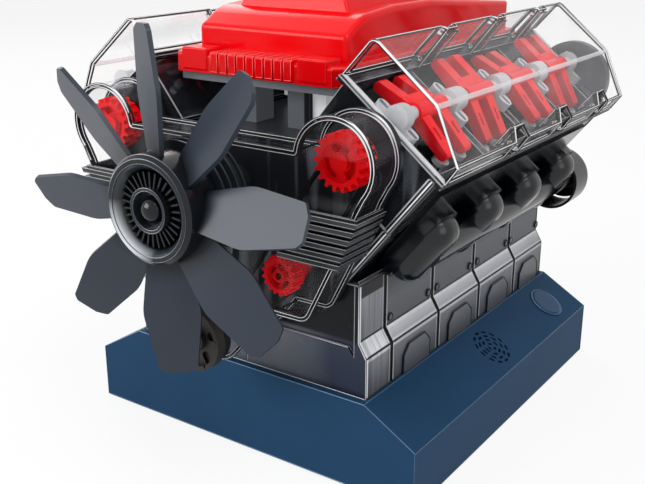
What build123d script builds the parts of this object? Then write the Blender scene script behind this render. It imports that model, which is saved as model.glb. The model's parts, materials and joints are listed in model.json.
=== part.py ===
from build123d import *
from math import acos, atan2, cos, degrees, hypot, pi, radians, sin, sqrt
import os

# A see-through V8 engine kit on a sounding base, in millimetres, +Z up.
# X points to the right bank as seen from the fan, and Y points from the fan to the rear.
# The origin is the centre of the base's feet, on the surface that the kit stands on.

# Clearances
seat_gap = 0.3          # between faces that stay apart
shaft_gap = 0.08        # around a shaft in its bearing
cut_over = 1.0          # how far a cut runs past the face that it opens

# Base
foot_height = 1.5
foot_radius = 7.0
foot_inset = 16.0
base_margin = 3.5
base_width = 228.0
base_side_height = 34.0
base_top_width = 164.8
base_height = 52.6
base_wall = 2.6
base_plate_thick = 2.4
base_post_radius = 4.5
base_post_inset = 30.0
bay_length = 56.0
bay_width = 50.0
bay_wall = 1.6
bay_shift = 40.0
cell_radius = 7.2
door_lip = 3.0
door_thick = 1.2

# Speaker and its grille, on the right slope
grille_y = 1.8
grille_margin = 3.2
grille_slot_width = 1.7
grille_rings = 4
grille_slot_share = 0.62
speaker_edge_gap = 2.33
speaker_thick = 4.0
magnet_thick = 6.0

# Sound button, on the right slope
button_y = 87.5
button_edge_gap = 7.93
button_rise = 1.2
button_flange = 1.8
button_flange_thick = 1.2
button_travel = 1.5
button_ring_width = 1.6
button_ring_rise = 0.7
button_stem_radius = 4.0
button_stem_length = 6.0

# Crankcase
case_front_margin = 8.1
case_rear_margin = 9.1
case_ledge = 2.3
case_step = 4.9
case_foot_height = 23.4
case_bevel_height = 8.0
case_wall = 2.4
seam_width = 1.8
seam_depth = 1.1
seam_first = 26.5
seam_pitch = 53.2
pad_width = 30.0
pad_height = 17.0
pad_rise = 1.2
pad_chamfer = 6.0
web_thick = 4.0
web_low_height = 14.0
web_tower_half = 20.0
web_tower_rise = 11.0
motor_web_back = 20.0
case_screw_radius = 2.2
case_screw_inset = 5.3
case_screw_rise = 0.8
front_panel_rise = 27.9
front_panel_cut = 3.5
front_panel_depth = 1.6
front_recess_inner = 20.0
front_post_width = 2.7
front_panel_drop = 5.0

# Cranktrain
crank_rise = 30.9
crank_throw = 7.0
journal_radius = 4.0
pin_radius = 3.6
cheek_thick = 4.0
cheek_radius = 7.5
rod_thick = 4.8
rod_space = 0.5
rod_short = 10.0
big_end_radius = 7.0
small_end_radius = 3.4
rod_shank_width = 4.6
piston_radius = 16.7
piston_height = 26.0
piston_crown = 3.0
piston_skirt_wall = 2.0
piston_head_height = 11.0
gudgeon_length = 86.0
ring_groove_depth = 0.7
ring_groove_width = 1.4
motor_radius = 13.0
motor_length = 16.0
motor_shaft_radius = 2.0
motor_shaft_length = 4.0

# Banks
bank_tilt = 38.7
bay_pitch = 53.7
block_inset = 1.0
block_wall = 2.4
block_deck = 2.4
deck_gap = 4.0
deck_height = 32.5
liner_wall = 1.6
liner_low_reach = 46.0

# Cylinder heads
head_inner = -34.0
head_outer = 32.0
head_wall = 2.2
head_floor = 4.0
head_height = 40.0
head_lip_thick = 2.5
head_lip_inner_out = 4.5
head_lip_outer_out = 3.9
bulkhead_thick = 6.0
bulkhead_drop = 3.0

# Camshaft and valve gear, in bank coordinates: offset across the bank and reach from the crank
cam_offset = -4.4
cam_rise = 19.9
cam_shaft_radius = 4.0
cam_base_radius = 5.2
cam_tip_radius = 2.4
cam_lift_reach = 8.5
cam_lobe_thick = 7.0
rocker_offset = -4.0
rocker_rise = 7.0
rocker_shaft_radius = 3.5
rocker_end_gap = 0.5
cap_radius = 6.5
cap_length = 12.0
cap_end_length = 7.0
cap_ear_reach = 14.0
cap_ear_width = 8.0
cap_ear_thick = 5.8
cap_slot_width = 2.6
cap_slot_length = 6.4
cap_ear_shift = 1.8
arm_half_pitch = 9.3
arm_width = 8.0
arm_thick = 5.0
arm_hub_radius = 5.0
arm_hub_over = 1.0
arm_bridge_reach = 10.0
arm_inner_offset = -27.0
arm_inner_drop = 5.0
arm_inner_radius = 2.7
arm_outer_offset = 21.0
arm_outer_drop = 5.0
arm_outer_radius = 2.7
arm_slot_width = 1.6
arm_slot_length = 7.0
arm_foot_offset = -12.5
arm_foot_width = 4.0
arm_foot_gap = 1.0
arm_open_angle = 13.0
valve_cap_radius = 4.2
valve_cap_thick = 3.0
valve_gap = 0.4
valve_stem_radius = 1.6
valve_low_rise = 8.0
valve_guide_radius = 3.6
valve_guide_height = 10.0
valve_lever = 25.0

# Valve covers: corners as offset across the bank and reach from the crank
cover_front_inset = 2.7
cover_rear_inset = 1.8
cover_wall = 1.6
cover_top_set = 1.4
cover_height = 25.9
cover_ridge_offset = 8.2
cover_ridge_drop = 0.5
cover_shoulder_height = 11.2
cover_round = 4.0
notch_depth = 5.4
notch_half = 8.5
notch_floor_half = 5.0
notch_outer_depth = 7.0
cover_boss_radius = 3.4
cover_boss_drop = 5.9
cover_boss_height = 4.0
cover_screw_first = 40.0
cover_screw_pitch = 60.5
cover_screw_count = 3

# Screws
screw_radius = 1.3
screw_hole_radius = 1.5
screw_head_radius = 2.6
screw_head_height = 2.0
screw_bite = 2.2
screw_slot_width = 0.7
screw_slot_depth = 0.8

# Drums at the rear of the rocker gear
drum_offset = 5.0
drum_drop = 2.0
drum_gap = 0.44
drum_thick = 6.0
drum_rim = 1.5

# Timing case and cover: corners as X and height above the crank
timing_plate_thick = 3.5
timing_depth = 24.5
timing_wall = 2.0
timing_rim = 2.2
timing_rim_rise = 1.4
arch_radius = 23.0
valley_half = 54.2
valley_rise = 106.0
flank_x = 90.3
flank_rise = 80.5
corner_x = 77.0
corner_rise = 50.4
low_corner_x = 61.0
low_edge_x = 39.0
low_edge_rise = 18.3
tongue_radius = 18.0
timing_round = 8.0

# Finned blocks on the timing cover
fin_inner_x = 46.0
fin_low_rise = 51.0
fin_high_rise = 78.0
fin_front_thick = 4.0
fin_side_thick = 4.0
fin_core = 1.6
fin_count = 6
fin_share = 0.55

# Gears and belts
cam_gear_radius = 14.5
cam_gear_teeth = 18
gear_tooth_depth = 2.6
gear_row_thick = 5.4
gear_rows_gap = 0.4
gear_inset = 3.0
gear_web_thick = 2.4
gear_rim_wall = 2.0
gear_hub_radius = 4.9
gear_bore_gap = 0.05
gear_hole_gap = 0.6
gear_hole_spread = 78.0
idler_x = 40.0
idler_rise = 37.5
idler_gear_radius = 10.7
idler_gear_teeth = 17
idler_tooth_depth = 1.6
idler_gear_thick = 8.0
idler_hole_spread = 48.0
idler_stud_radius = 2.0
crank_sprocket_radius = 5.3
cam_sprocket_radius = 10.6
idler_sprocket_radius = 8.5
belt_width = 2.8
belt_thick = 1.6
belt_plane_gap = 0.5

# Crank pulley
pulley_radius = 17.5
pulley_thick = 6.0
pulley_rim = 2.6
pulley_web_thick = 3.0
pulley_hole_count = 5
pulley_hole_radius = 2.6
pulley_hole_length = 6.2
crank_groove_radius = 13.5
groove_depth = 2.6
groove_lip = 1.0
groove_count = 1
fan_belt_width = 3.6
fan_drum_radius = 30.5
fan_drum_groove_radius = 27.0
fan_drum_grooves = 3
fan_drum_gap = 1.6
drum_boss_gap = 1.8

# Fan
fan_rise = 78.0
fan_tip_radius = 88.0
fan_blades = 8
fan_blade_turn = 4.0
fan_blade_pitch = 28.0
fan_blade_thick = 2.4
fan_blade_set = 11.6
fan_depth = 22.0
fan_hub_radius = 27.7
fan_hub_back_radius = 27.0
fan_lip_radius = 22.0
fan_recess = 7.0
fan_fin_count = 30
fan_fin_inner = 11.5
fan_cone_radius = 18.0
fan_fin_outer = 19.0
fan_ring_floor = 1.0
fan_bore_floor = 2.0
fan_lip_round = 2.0
fan_lip_bevel = 1.2
fan_fin_thick = 1.0
fan_fin_height = 3.6
fan_ring_radius = 11.5
fan_ring_wall = 1.8
fan_ring_height = 6.0
fan_nose_radius = 7.0
fan_shaft_radius = 4.0
fan_boss_radius = 9.0
fan_boss_length = 6.0
fan_root_half = 9.5
fan_neck_radius = 44.0
fan_neck_half = 13.2
fan_belly_radius = 55.0
fan_belly_half = 15.2
fan_tip_half = 10.4
fan_tip_cut = 3.0
fan_tip_round = 2.5
fan_belly_round = 22.0

# Exhaust manifolds: boots and collector, as offset across the bank and reach from the crank
port_flange_thick = 3.0
port_flange_high = 26.0
port_flange_low = 5.0
port_flange_end = 17.0
boot_width = 26.4
boot_depth = 20.8
boot_high = 10.7
boot_low = 35.5
boot_side_round = 12.0
boot_edge_round = 10.5
collar_depth = 9.6
collar_rise = 1.4
collar_high_rise = 1.8
collar_round = 11.0
collector_out = 12.3
collector_drop = 13.8
collector_radius = 9.6
bell_inset = 3.0
bell_depth = 26.0
bell_radius = 18.9
bell_wall = 1.7
bell_round = 7.0

# Intake
intake_rise = 130.6
intake_front_inset = 9.8
intake_rear_inset = 10.5
intake_half = 57.0
intake_chamfer = 5.5
intake_ledge_height = 10.4
intake_wall = 2.2
plenum_side_inset = 7.0
plenum_front_inset = 16.2
plenum_rear_inset = 3.0
plenum_nose_height = 23.6
plenum_nose_round = 4.0
plenum_side_round = 3.2
plenum_top_round = 30.0
plenum_shoulder_height = 33.0
plenum_shoulder_run = 16.5
plenum_crown_height = 35.8
plenum_crown_run = 51.5
plenum_tail_height = 27.6
scoop_side_inset = 13.0
scoop_front_inset = 17.5
scoop_rear_inset = 17.0
scoop_height = 43.0
scoop_side_lean = 6.0
scoop_tail_height = 36.0
scoop_round = 1.8
intake_block_inner = 30.0
intake_block_outer = 48.5
intake_block_rise = 3.0
intake_block_depth = 13.0
intake_block_round = 1.2
intake_ledge_round = 2.0
intake_rib_count = 9
intake_rib_share = 0.82
intake_rib_rise = 1.3
intake_rib_round = 1.0
tray_thick = 5.0
tray_side_inset = 4.0
tray_front_inset = 4.7
tray_rear_inset = 5.0
valley_plate_thick = 3.0
valley_plate_rise = 99.5
runner_inner = 11.0
runner_outer = 25.0
runner_length = 16.0
stub_outer = 34.0
stub_length = 10.0

# Shares
cap_foot_share = 0.8
bowl_share = 0.8
motor_flat_share = 0.8
motor_stand_share = 0.6
grille_least_share = 1.3
small_hub_share = 0.7
arch_side_share = 0.7
arch_low_shares = (0.9, 0.4)
tooth_shares = ((-0.30, 0), (-0.13, 1), (0.13, 1), (0.30, 0))

# Base and case, worked out from the sizes above
base_top = foot_height + base_height
slope_run = (base_width - base_top_width) / 2
slope_drop = base_height - base_side_height
slope_angle = degrees(atan2(slope_drop, slope_run))
slope_mid = (base_width / 2 - slope_run / 2, foot_height + base_side_height + slope_drop / 2)
slope_half = hypot(slope_run, slope_drop) / 2
speaker_radius = slope_half - speaker_edge_gap
magnet_radius = speaker_radius / 2
grille_radius = speaker_radius - grille_margin
button_radius = slope_half - button_edge_gap
crank_height = base_top + crank_rise
case_deck = crank_height + deck_height
case_front = 2 * bay_pitch + case_front_margin
case_rear = 2 * bay_pitch + case_rear_margin
base_length = 2 * (case_rear + base_margin)
case_foot_half = base_top_width / 2 - case_ledge
case_waist_half = case_foot_half - case_step
front_recess_outer = case_waist_half - front_post_width
front_panel_half = front_recess_outer - front_panel_cut
cylinder_ys = [(k - 1.5) * bay_pitch for k in range(4)]
cap_ys = [(k - 2) * bay_pitch for k in range(5)]

# Places up a bank: each is a reach from the crank
rod_length = gudgeon_length - rod_short
deck_reach = crank_throw + gudgeon_length + piston_head_height + deck_gap
head_top_reach = deck_reach + head_height
bulkhead_top_reach = head_top_reach - bulkhead_drop
cam_reach = deck_reach + cam_rise
rocker_reach = bulkhead_top_reach + rocker_rise
arm_inner_reach = rocker_reach - arm_inner_drop
arm_outer_reach = rocker_reach - arm_outer_drop
arm_foot_reach = cam_reach + cam_lift_reach + arm_foot_gap
valve_stem_low_reach = deck_reach + valve_low_rise
cover_top_reach = head_top_reach + cover_height
cover_ridge_reach = cover_top_reach - cover_ridge_drop
cover_shoulder_reach = head_top_reach + cover_shoulder_height
cover_boss_top_reach = cover_top_reach - cover_boss_drop
cover_boss_low_reach = head_top_reach + cover_boss_height
drum_reach = head_top_reach - drum_drop
drum_seat_reach = bulkhead_top_reach + cap_ear_thick + seat_gap
collector_reach = deck_reach - collector_drop

# Places across a bank, from the bores' plane
block_half = head_outer - block_inset
head_lip_inner = head_inner - head_lip_inner_out
head_lip_outer = head_outer + head_lip_outer_out
cover_top_inner = head_lip_inner + cover_top_set
cover_fall = atan2(cover_ridge_reach - cover_shoulder_reach, head_lip_outer - cover_ridge_offset)
drum_room_across = (cover_ridge_offset - drum_offset) * sin(cover_fall)
drum_room_up = (cover_ridge_reach - drum_reach) * cos(cover_fall)
drum_radius = drum_room_across + drum_room_up - cover_wall - drum_gap
collector_offset = head_outer + collector_out

# Places along the kit: each is a distance in front of or behind the middle
cover_front = case_front - cover_front_inset
cover_rear = case_rear - cover_rear_inset
timing_front = case_front + timing_depth
gear_front = timing_front - gear_inset
groove_pitch = fan_belt_width + 2 * seat_gap + groove_lip
groove_front = timing_front + fan_boss_length + drum_boss_gap + groove_count * groove_pitch
pulley_front = groove_front + groove_lip + pulley_thick
fan_drum_front = groove_front + groove_lip + (fan_drum_grooves - groove_count) * groove_pitch
fan_back = fan_drum_front + fan_drum_gap
fan_front = fan_back + fan_depth
fan_blade_y = fan_back + fan_blade_set
bell_rear = case_rear - bell_inset
bell_front = bell_rear - bell_depth
end_shift = cap_ys[4] + cap_end_length / 2 - (cover_front - cover_wall - seat_gap)
cap_ys[0] = cap_ys[0] + max(end_shift, 0)
cap_ys[4] = cap_ys[4] - max(end_shift, 0)

# Fan and intake
fan_height = crank_height + fan_rise
intake_low_height = crank_height + intake_rise
valley_plate_height = crank_height + valley_plate_rise
intake_front = case_front - intake_front_inset
intake_rear = case_rear - intake_rear_inset
plenum_half = intake_half - plenum_side_inset
plenum_front = intake_front - plenum_front_inset
plenum_rear = intake_rear - plenum_rear_inset
plenum_shoulder_y = plenum_front - plenum_shoulder_run
plenum_crown_y = plenum_front - plenum_crown_run
scoop_half = plenum_half - scoop_side_inset
scoop_front = plenum_front - scoop_front_inset
scoop_rear = plenum_rear - scoop_rear_inset
tray_half = intake_half - tray_side_inset
tray_front = intake_front - tray_front_inset
tray_rear = intake_rear - tray_rear_inset

# Timing gear centres, beside and above the crank
cam_gear_x = cam_reach * sin(radians(bank_tilt)) + cam_offset * cos(radians(bank_tilt))
cam_gear_rise = cam_reach * cos(radians(bank_tilt)) - cam_offset * sin(radians(bank_tilt))


# Shapes in the kit's own frame
def slab(x0, x1, y0, y1, z0, z1):
    return Pos((x0 + x1) / 2, (y0 + y1) / 2, (z0 + z1) / 2) * Box(x1 - x0, y1 - y0, z1 - z0)


def rod_y(x, z, radius, y0, y1):
    return Pos(x, (y0 + y1) / 2, z) * Rot(X=90) * Cylinder(radius, y1 - y0)


def rod_z(x, y, radius, z0, z1):
    return Pos(x, y, (z0 + z1) / 2) * Cylinder(radius, z1 - z0)


def cross_plane(y):
    return Plane(origin=(0, y, 0), x_dir=(1, 0, 0), z_dir=(0, -1, 0))


def side_plane(x):
    return Plane(origin=(x, 0, 0), x_dir=(0, 1, 0), z_dir=(1, 0, 0))


def outline(points):
    return make_face(Polyline(*points, close=True))


def push_y(sketch, y0, y1):
    return extrude(cross_plane(y0) * sketch, amount=y1 - y0, dir=(0, 1, 0))


def push_x(sketch, x0, x1):
    return extrude(side_plane(x0) * sketch, amount=x1 - x0, dir=(1, 0, 0))


def push_z(sketch, z0, z1):
    return extrude(Pos(0, 0, z0) * sketch, amount=z1 - z0, dir=(0, 0, 1))


def flipped(shape):
    return mirror(shape, about=Plane.YZ)


def group(shapes):
    solids = []
    for shape in shapes:
        solids += list(shape.solids())
    return Compound(children=solids)


def save(name, shape):
    solids = list(shape.solids())
    whole = solids[0] if len(solids) == 1 else Compound(children=solids)
    whole.label = name
    export_step(whole, "parts/" + name + ".step")
    print(name, len(solids), round(whole.volume, 1))


# The right bank's frame: X across the bank, outwards, Y to the rear, Z up the bores
bank = Plane(
    origin=(0, 0, crank_height),
    x_dir=(cos(radians(bank_tilt)), 0, -sin(radians(bank_tilt))),
    z_dir=(sin(radians(bank_tilt)), 0, cos(radians(bank_tilt))),
)


def on_bank(shape):
    return bank * shape


# Base
def base_section(inset):
    half = base_width / 2
    top_half = base_top_width / 2
    section = outline([
        (-half, foot_height),
        (half, foot_height),
        (half, foot_height + base_side_height),
        (top_half, base_top),
        (-top_half, base_top),
        (-half, foot_height + base_side_height),
    ])
    return offset(section, amount=-inset) if inset else section



def slope_frame(y):
    """X down the right slope, Y to the rear, Z straight out of the slope."""
    down = (cos(radians(slope_angle)), 0, -sin(radians(slope_angle)))
    out = (sin(radians(slope_angle)), 0, cos(radians(slope_angle)))
    return Plane(origin=(slope_mid[0], y, slope_mid[1]), x_dir=down, z_dir=out)


def grille_slots():
    slots = []
    for ring in range(grille_rings):
        radius = grille_radius * (grille_rings - ring) / grille_rings - grille_slot_width / 2
        count = 3 * (grille_rings - ring)
        length = 2 * pi * radius / count * grille_slot_share
        for k in range(count):
            turn = 360 / count * (k + ring / 2)
            slot = SlotOverall(max(length, grille_slot_width * grille_least_share), grille_slot_width)
            bar = extrude(slot, amount=base_wall + cut_over, both=True)
            slots.append(Rot(Z=turn) * Pos(0, radius, 0) * bar)
    return slots


def make_base_shell():
    half = base_length / 2
    shell = push_y(base_section(0), -half, half)
    cavity = push_y(base_section(base_wall), -half + base_wall, half - base_wall)
    mouth_half = base_width / 2 - base_wall
    mouth = slab(-mouth_half, mouth_half, -half + base_wall, half - base_wall,
                 foot_height - cut_over, foot_height + base_wall * 2)
    shell = shell - (cavity + mouth)
    posts = []
    for x in (-1, 1):
        for y in (-1, 1):
            post_x = x * (base_width / 2 - base_post_inset)
            post_y = y * (half - base_post_inset / 2)
            post = rod_z(post_x, post_y, base_post_radius, foot_height + base_plate_thick, base_top)
            hole = rod_z(post_x, post_y, screw_hole_radius, foot_height, base_top - base_height / 2)
            posts.append(post - hole)
    keep = push_y(base_section(base_wall / 2), -half + base_wall / 2, half - base_wall / 2)
    for post in posts:
        shell = shell + (post & keep)
    frame = slope_frame(button_y)
    ring = Cylinder(button_radius + button_ring_width, button_ring_rise * 2)
    hole = Cylinder(button_radius + seat_gap, base_wall * 4)
    shell = shell + frame * ring
    shell = shell - frame * hole
    return shell - [slope_frame(grille_y) * slot for slot in grille_slots()]


def make_base_plate():
    half_x = base_width / 2 - base_wall - seat_gap
    half_y = base_length / 2 - base_wall - seat_gap
    top = foot_height + base_plate_thick
    plate = slab(-half_x, half_x, -half_y, half_y, foot_height, top)
    plate = plate + rod_z(0, 0, foot_radius, 0, foot_height + base_plate_thick / 2)
    for x in (-1, 1):
        for y in (-1, 1):
            foot_x = x * (base_width / 2 - foot_inset)
            foot_y = y * (base_length / 2 - foot_inset)
            plate = plate + rod_z(foot_x, foot_y, foot_radius, 0, foot_height + base_plate_thick / 2)
            post_x = x * (base_width / 2 - base_post_inset)
            post_y = y * (base_length / 2 - base_post_inset / 2)
            plate = plate - rod_z(post_x, post_y, screw_hole_radius, 0, top + cut_over)
    bay_high = top + 2 * cell_radius + 2 * seat_gap
    box = slab(-bay_length / 2 - bay_wall, bay_length / 2 + bay_wall,
               bay_shift - bay_width / 2 - bay_wall, bay_shift + bay_width / 2 + bay_wall,
               top - base_plate_thick / 2, bay_high + bay_wall)
    space = slab(-bay_length / 2, bay_length / 2, bay_shift - bay_width / 2,
                 bay_shift + bay_width / 2, foot_height - cut_over, bay_high)
    rebate = slab(-bay_length / 2 - door_lip, bay_length / 2 + door_lip,
                  bay_shift - bay_width / 2 - door_lip, bay_shift + bay_width / 2 + door_lip,
                  foot_height - cut_over, foot_height + door_thick)
    return plate + box - space - rebate


def make_battery_door():
    gap = seat_gap
    half_x = bay_length / 2 + door_lip - gap
    half_y = bay_width / 2 + door_lip - gap
    panel = slab(-half_x, half_x, bay_shift - half_y, bay_shift + half_y,
                 foot_height, foot_height + door_thick)
    plug = slab(-bay_length / 2 + gap, bay_length / 2 - gap, bay_shift - bay_width / 2 + gap,
                bay_shift + bay_width / 2 - gap, foot_height + door_thick,
                foot_height + base_plate_thick)
    grips = [slab(-half_x / 3, half_x / 3, bay_shift - half_y + k * door_lip * 2,
                  bay_shift - half_y + k * door_lip * 2 + door_lip / 2,
                  foot_height - cut_over, foot_height + door_thick / 3) for k in range(1, 4)]
    return panel + plug - grips


def make_batteries():
    z = foot_height + base_plate_thick + cell_radius + seat_gap / 2
    length = bay_length - 2 * seat_gap
    cells = []
    for k in (-1, 0, 1):
        y = bay_shift + k * (2 * cell_radius + seat_gap)
        body = Pos(-seat_gap, y, z) * Rot(Y=90) * Cylinder(cell_radius, length - cell_radius / 2)
        tip = Pos(length / 2 - cell_radius / 4, y, z) * Rot(Y=90) * Cylinder(cell_radius / 3,
                                                                             cell_radius / 2)
        cells.append(body + tip)
    return group(cells)


def make_speaker():
    frame = slope_frame(grille_y)
    top = -base_wall
    basket = Pos(0, 0, top - speaker_thick / 2) * Cylinder(speaker_radius, speaker_thick)
    bowl = Pos(0, 0, top - speaker_thick / 4) * Cylinder(speaker_radius * bowl_share, speaker_thick / 2)
    dome = Pos(0, 0, top - speaker_thick) * Sphere(speaker_thick)
    magnet = Pos(0, 0, top - speaker_thick - magnet_thick / 2) * Cylinder(magnet_radius, magnet_thick)
    low = Pos(0, 0, top - magnet_thick) * Cylinder(speaker_radius, magnet_thick * 2)
    return frame * ((basket - bowl) + (dome & low) + magnet)


def make_sound_button():
    frame = slope_frame(button_y)
    flange_top = -base_wall - seat_gap
    body = Pos(0, 0, (button_rise + flange_top) / 2) * Cylinder(button_radius, button_rise - flange_top)
    body = fillet(body.edges().group_by(Axis.Z)[-1], button_rise / 2)
    flange = Cylinder(button_radius + button_flange, button_flange_thick)
    flange = Pos(0, 0, flange_top - button_flange_thick / 2) * flange
    low = flange_top - button_flange_thick - button_stem_length / 2
    stem = Pos(0, 0, low) * Cylinder(button_stem_radius, button_stem_length)
    return frame * (body + flange + stem)


# Crankcase halves
def case_section():
    return outline([
        (0, base_top),
        (case_foot_half, base_top),
        (case_foot_half, base_top + case_foot_height),
        (case_waist_half, base_top + case_foot_height + case_bevel_height),
        (case_waist_half, case_deck),
        (0, case_deck),
    ])


def case_hollow():
    wall = case_wall
    return outline([
        (-cut_over, base_top - cut_over),
        (case_foot_half - wall, base_top - cut_over),
        (case_foot_half - wall, base_top + case_foot_height),
        (case_waist_half - wall, base_top + case_foot_height + case_bevel_height),
        (case_waist_half - wall, case_deck + cut_over),
        (-cut_over, case_deck + cut_over),
    ])


def seam_ys():
    return [-case_front + seam_first + k * seam_pitch for k in range(4)]


def panel_ys():
    seams = seam_ys()
    ends = seams + [case_rear]
    return [(ends[k] + ends[k + 1]) / 2 for k in range(4)]


def make_crankcase_half():
    half = push_y(case_section(), -case_front, case_rear)
    half = half - push_y(case_hollow(), -case_front + case_wall, case_rear - case_wall)
    groove = outline([
        (case_foot_half - seam_depth, base_top - cut_over),
        (case_foot_half + cut_over, base_top - cut_over),
        (case_foot_half + cut_over, case_deck + cut_over),
        (case_waist_half - seam_depth, case_deck + cut_over),
        (case_waist_half - seam_depth, base_top + case_foot_height + case_bevel_height),
        (case_foot_half - seam_depth, base_top + case_foot_height),
    ])
    half = half - [push_y(groove, y - seam_width / 2, y + seam_width / 2) for y in seam_ys()]
    for y in panel_ys():
        pad = outline([
            (y - pad_width / 2, base_top),
            (y + pad_width / 2, base_top),
            (y + pad_width / 2, base_top + pad_height - pad_chamfer),
            (y + pad_width / 2 - pad_chamfer, base_top + pad_height),
            (y - pad_width / 2 + pad_chamfer, base_top + pad_height),
            (y - pad_width / 2, base_top + pad_height - pad_chamfer),
        ])
        half = half + push_x(pad, case_foot_half - case_wall / 2, case_foot_half + pad_rise)
    screw_z = (base_top + case_foot_height + case_bevel_height) + 2 * case_screw_radius
    for y in panel_ys():
        for side in (-1, 1):
            place = y + side * (seam_pitch / 2 - case_screw_inset)
            stud = Pos(case_waist_half, place, screw_z) * Rot(Y=90) * Cylinder(case_screw_radius,
                                                                               2 * case_screw_rise)
            half = half + stud
    web = outline([
        (0, base_top),
        (case_foot_half - case_wall / 2, base_top),
        (case_foot_half - case_wall / 2, base_top + web_low_height),
        (web_tower_half, base_top + web_low_height),
        (web_tower_half, crank_height + web_tower_rise / 2),
        (web_tower_half - web_tower_rise / 2, crank_height + web_tower_rise),
        (0, crank_height + web_tower_rise),
    ])
    for y in web_ys():
        half = half + push_y(web, y - web_thick / 2, y + web_thick / 2)
    bore = rod_y(0, crank_height, journal_radius + shaft_gap, -case_front - cut_over,
                 case_rear - 2 * case_wall)
    panel_top = base_top + front_panel_rise
    recess = outline([
        (front_recess_inner, panel_top), (front_panel_half, panel_top),
        (front_recess_outer, panel_top - front_panel_drop), (front_recess_outer, case_deck + cut_over),
        (front_recess_inner, case_deck + cut_over)])
    half = half - push_y(recess, -case_front - cut_over, -case_front + front_panel_depth)
    return half - bore


def web_ys():
    return [cap_ys[1], cap_ys[2], cap_ys[3], case_rear - motor_web_back - web_thick / 2]


def make_drive_motor():
    rear = case_rear - case_wall
    can = rod_y(0, crank_height, motor_radius, rear - motor_length, rear)
    flat = motor_radius * motor_flat_share
    flats = slab(-motor_radius * 2, motor_radius * 2, rear - motor_length, rear - motor_length / 4,
                 crank_height - flat, crank_height + flat)
    boss = rod_y(0, crank_height, motor_shaft_radius * 2, rear - motor_length - seat_gap, rear)
    socket = rod_y(0, crank_height, motor_shaft_radius + shaft_gap,
                   rear - motor_length - cut_over, rear - motor_length + motor_shaft_length)
    stand = slab(-motor_radius / 2, motor_radius / 2, rear - motor_length, rear - motor_length / 4,
                 base_top, crank_height - motor_radius * motor_stand_share)
    can = (can & flats) + rod_y(0, crank_height, motor_radius, rear - motor_length / 4, rear)
    return can + boss + stand - socket


# Cranktrain
def crank_phase(k):
    """+1 where cylinder k's pin stands up at rest and -1 where it hangs down."""
    return 1 if k in (0, 3) else -1


def make_crankshaft():
    shaft = rod_y(0, crank_height, journal_radius, -pulley_front - pulley_web_thick,
                  case_rear - case_wall - motor_length - seat_gap - cut_over / 2)
    half = rod_thick + rod_space
    for k, y in enumerate(cylinder_ys):
        pin_z = crank_height + crank_phase(k) * crank_throw
        shaft = shaft - rod_y(0, crank_height, journal_radius + cut_over, y - half, y + half)
        shaft = shaft + rod_y(0, pin_z, pin_radius, y - half - cheek_thick / 2, y + half + cheek_thick / 2)
        for side in (-1, 1):
            y0 = y + side * half if side > 0 else y - half - cheek_thick
            cheek = rod_y(0, crank_height, cheek_radius, y0, y0 + cheek_thick)
            cheek = cheek + rod_y(0, pin_z, cheek_radius - shaft_gap, y0, y0 + cheek_thick)
            low = min(crank_height, pin_z)
            high = max(crank_height, pin_z)
            shaft = shaft + cheek + slab(-cheek_radius + shaft_gap, cheek_radius - shaft_gap,
                                         y0, y0 + cheek_thick, low, high)
    stub = rod_y(0, crank_height, motor_shaft_radius, case_rear - case_wall - motor_length - journal_radius,
                 case_rear - case_wall - motor_length + motor_shaft_length - seat_gap)
    plane_back = -case_front - timing_plate_thick - seat_gap
    sprocket = rod_y(0, crank_height, crank_sprocket_radius,
                     plane_back - 2 * belt_width - 2 * belt_plane_gap, plane_back)
    return shaft + stub + sprocket


def make_rod(y, phase, side):
    """A connecting rod on the right bank, or on the left one where side is -1."""
    pin = (0, crank_height + phase * crank_throw)
    up = (sin(radians(bank_tilt)), cos(radians(bank_tilt)))
    shift = -side * (rod_thick / 2 + rod_space / 4)
    frame = Plane(origin=(pin[0], y + shift, pin[1]), x_dir=(up[1], 0, -up[0]), z_dir=(up[0], 0, up[1]))
    big = Rot(X=90) * Cylinder(big_end_radius, rod_thick)
    small = Pos(0, 0, rod_length) * Rot(X=90) * Cylinder(small_end_radius, rod_thick)
    shank = slab(-rod_shank_width / 2, rod_shank_width / 2, -rod_thick / 3, rod_thick / 3, 0, rod_length)
    bore = Rot(X=90) * Cylinder(pin_radius + shaft_gap, rod_thick * 2)
    eye = Pos(0, 0, rod_length) * Rot(X=90) * Cylinder(small_end_radius / 2, rod_thick * 2)
    body = frame * (big + small + shank - bore - eye)
    return body if side > 0 else flipped(body)


def make_rods(ks):
    return group([make_rod(cylinder_ys[k], crank_phase(k), side) for k in ks for side in (1, -1)])


def piston_reach(k):
    pin_up = crank_phase(k) * crank_throw
    along = pin_up * cos(radians(bank_tilt))
    across = pin_up * sin(radians(bank_tilt))
    return along + sqrt(gudgeon_length ** 2 - across ** 2) + piston_head_height


def make_piston(k):
    top = piston_reach(k)
    y = cylinder_ys[k]
    body = rod_z(0, y, piston_radius, top - piston_height, top)
    hollow = rod_z(0, y, piston_radius - piston_skirt_wall, top - piston_height - cut_over,
                   top - piston_crown)
    grooves = []
    for n in (1, 2):
        z = top - piston_crown / 2 - n * 2 * ring_groove_width
        ring = rod_z(0, y, piston_radius + cut_over, z, z + ring_groove_width)
        grooves.append(ring - rod_z(0, y, piston_radius - ring_groove_depth, z, z + ring_groove_width))
    return on_bank(body - hollow - grooves)


def make_pistons(ks, side):
    pair = group([make_piston(k) for k in ks])
    return pair if side > 0 else flipped(pair)


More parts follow.
